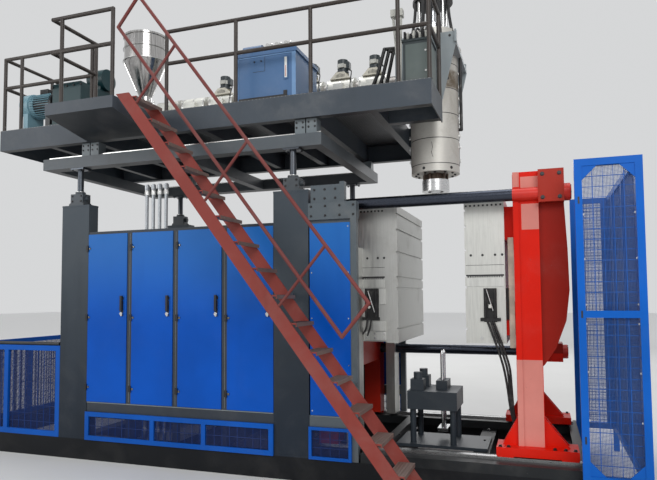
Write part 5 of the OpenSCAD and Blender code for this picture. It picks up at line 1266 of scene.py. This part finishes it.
def add_lamp(name, place, aim, size, power):
    data = bpy.data.lights.new(name, "AREA")
    data.shape = "RECTANGLE"
    data.size, data.size_y = size
    data.energy = power
    lamp = bpy.data.objects.new(name, data)
    lamp.location = place
    lamp.rotation_euler = (Vector(aim) - Vector(place)).to_track_quat("-Z", "Y").to_euler()
    scene.collection.objects.link(lamp)


LIGHT_ON_SURFACES = 0.58
LIGHT_SEEN = 0.72


def add_world():
    """Even surroundings, a little brighter where they are seen or mirrored."""
    world = bpy.data.worlds.new("studio")
    scene.world = world
    world.use_nodes = True
    tree = world.node_tree
    background = tree.nodes["Background"]
    path = tree.nodes.new("ShaderNodeLightPath")
    seen = tree.nodes.new("ShaderNodeMath")
    seen.operation = "MAXIMUM"
    tree.links.new(path.outputs["Is Camera Ray"], seen.inputs[0])
    tree.links.new(path.outputs["Is Glossy Ray"], seen.inputs[1])
    strength = tree.nodes.new("ShaderNodeMapRange")
    strength.inputs["To Min"].default_value = LIGHT_ON_SURFACES
    strength.inputs["To Max"].default_value = LIGHT_SEEN
    tree.links.new(seen.outputs[0], strength.inputs["Value"])
    background.inputs["Color"].default_value = (0.93, 0.94, 0.95, 1)
    tree.links.new(strength.outputs["Result"], background.inputs["Strength"])


CAMERA_PLACE = Vector((3.24, -6.74, 1.8))
CAMERA_PITCH = math.radians(3.3)
CAMERA_YAW = math.radians(19.2)
CAMERA_ROLL = math.radians(-0.42)
PICTURE_W = 657
FOCAL_PX = 606
CENTRE_DROP_PX = 22


def add_camera():
    data = bpy.data.cameras.new("camera")
    camera = bpy.data.objects.new("camera", data)
    forward = Vector((-math.sin(CAMERA_YAW) * math.cos(CAMERA_PITCH),
                      math.cos(CAMERA_YAW) * math.cos(CAMERA_PITCH),
                      math.sin(CAMERA_PITCH)))
    level = Vector((math.cos(CAMERA_YAW), math.sin(CAMERA_YAW), 0))
    upright = level.cross(forward)
    right = level * math.cos(CAMERA_ROLL) + upright * math.sin(CAMERA_ROLL)
    up = upright * math.cos(CAMERA_ROLL) - level * math.sin(CAMERA_ROLL)
    turn = Matrix((right, up, -forward)).transposed().to_4x4()
    camera.matrix_world = Matrix.Translation(CAMERA_PLACE) @ turn
    data.sensor_width = 36
    data.lens = FOCAL_PX / PICTURE_W * data.sensor_width
    data.shift_y = CENTRE_DROP_PX / PICTURE_W
    data.clip_end = 200
    scene.collection.objects.link(camera)
    scene.camera = camera


add_floor()
add_lamp("key", (7, -12, 9), (0.5, 0, 2.4), (7, 5), 820)
add_lamp("fill", (-9, -10, 6), (0, 0, 2.4), (7, 6), 380)
add_lamp("top", (0, 0, 13), (0, 0, 0), (9, 6), 520)
add_lamp("rear", (0, 13, 8), (0, 0, 2.5), (8, 5), 420)
add_world()
add_camera()
scene.view_settings.view_transform = "Standard"
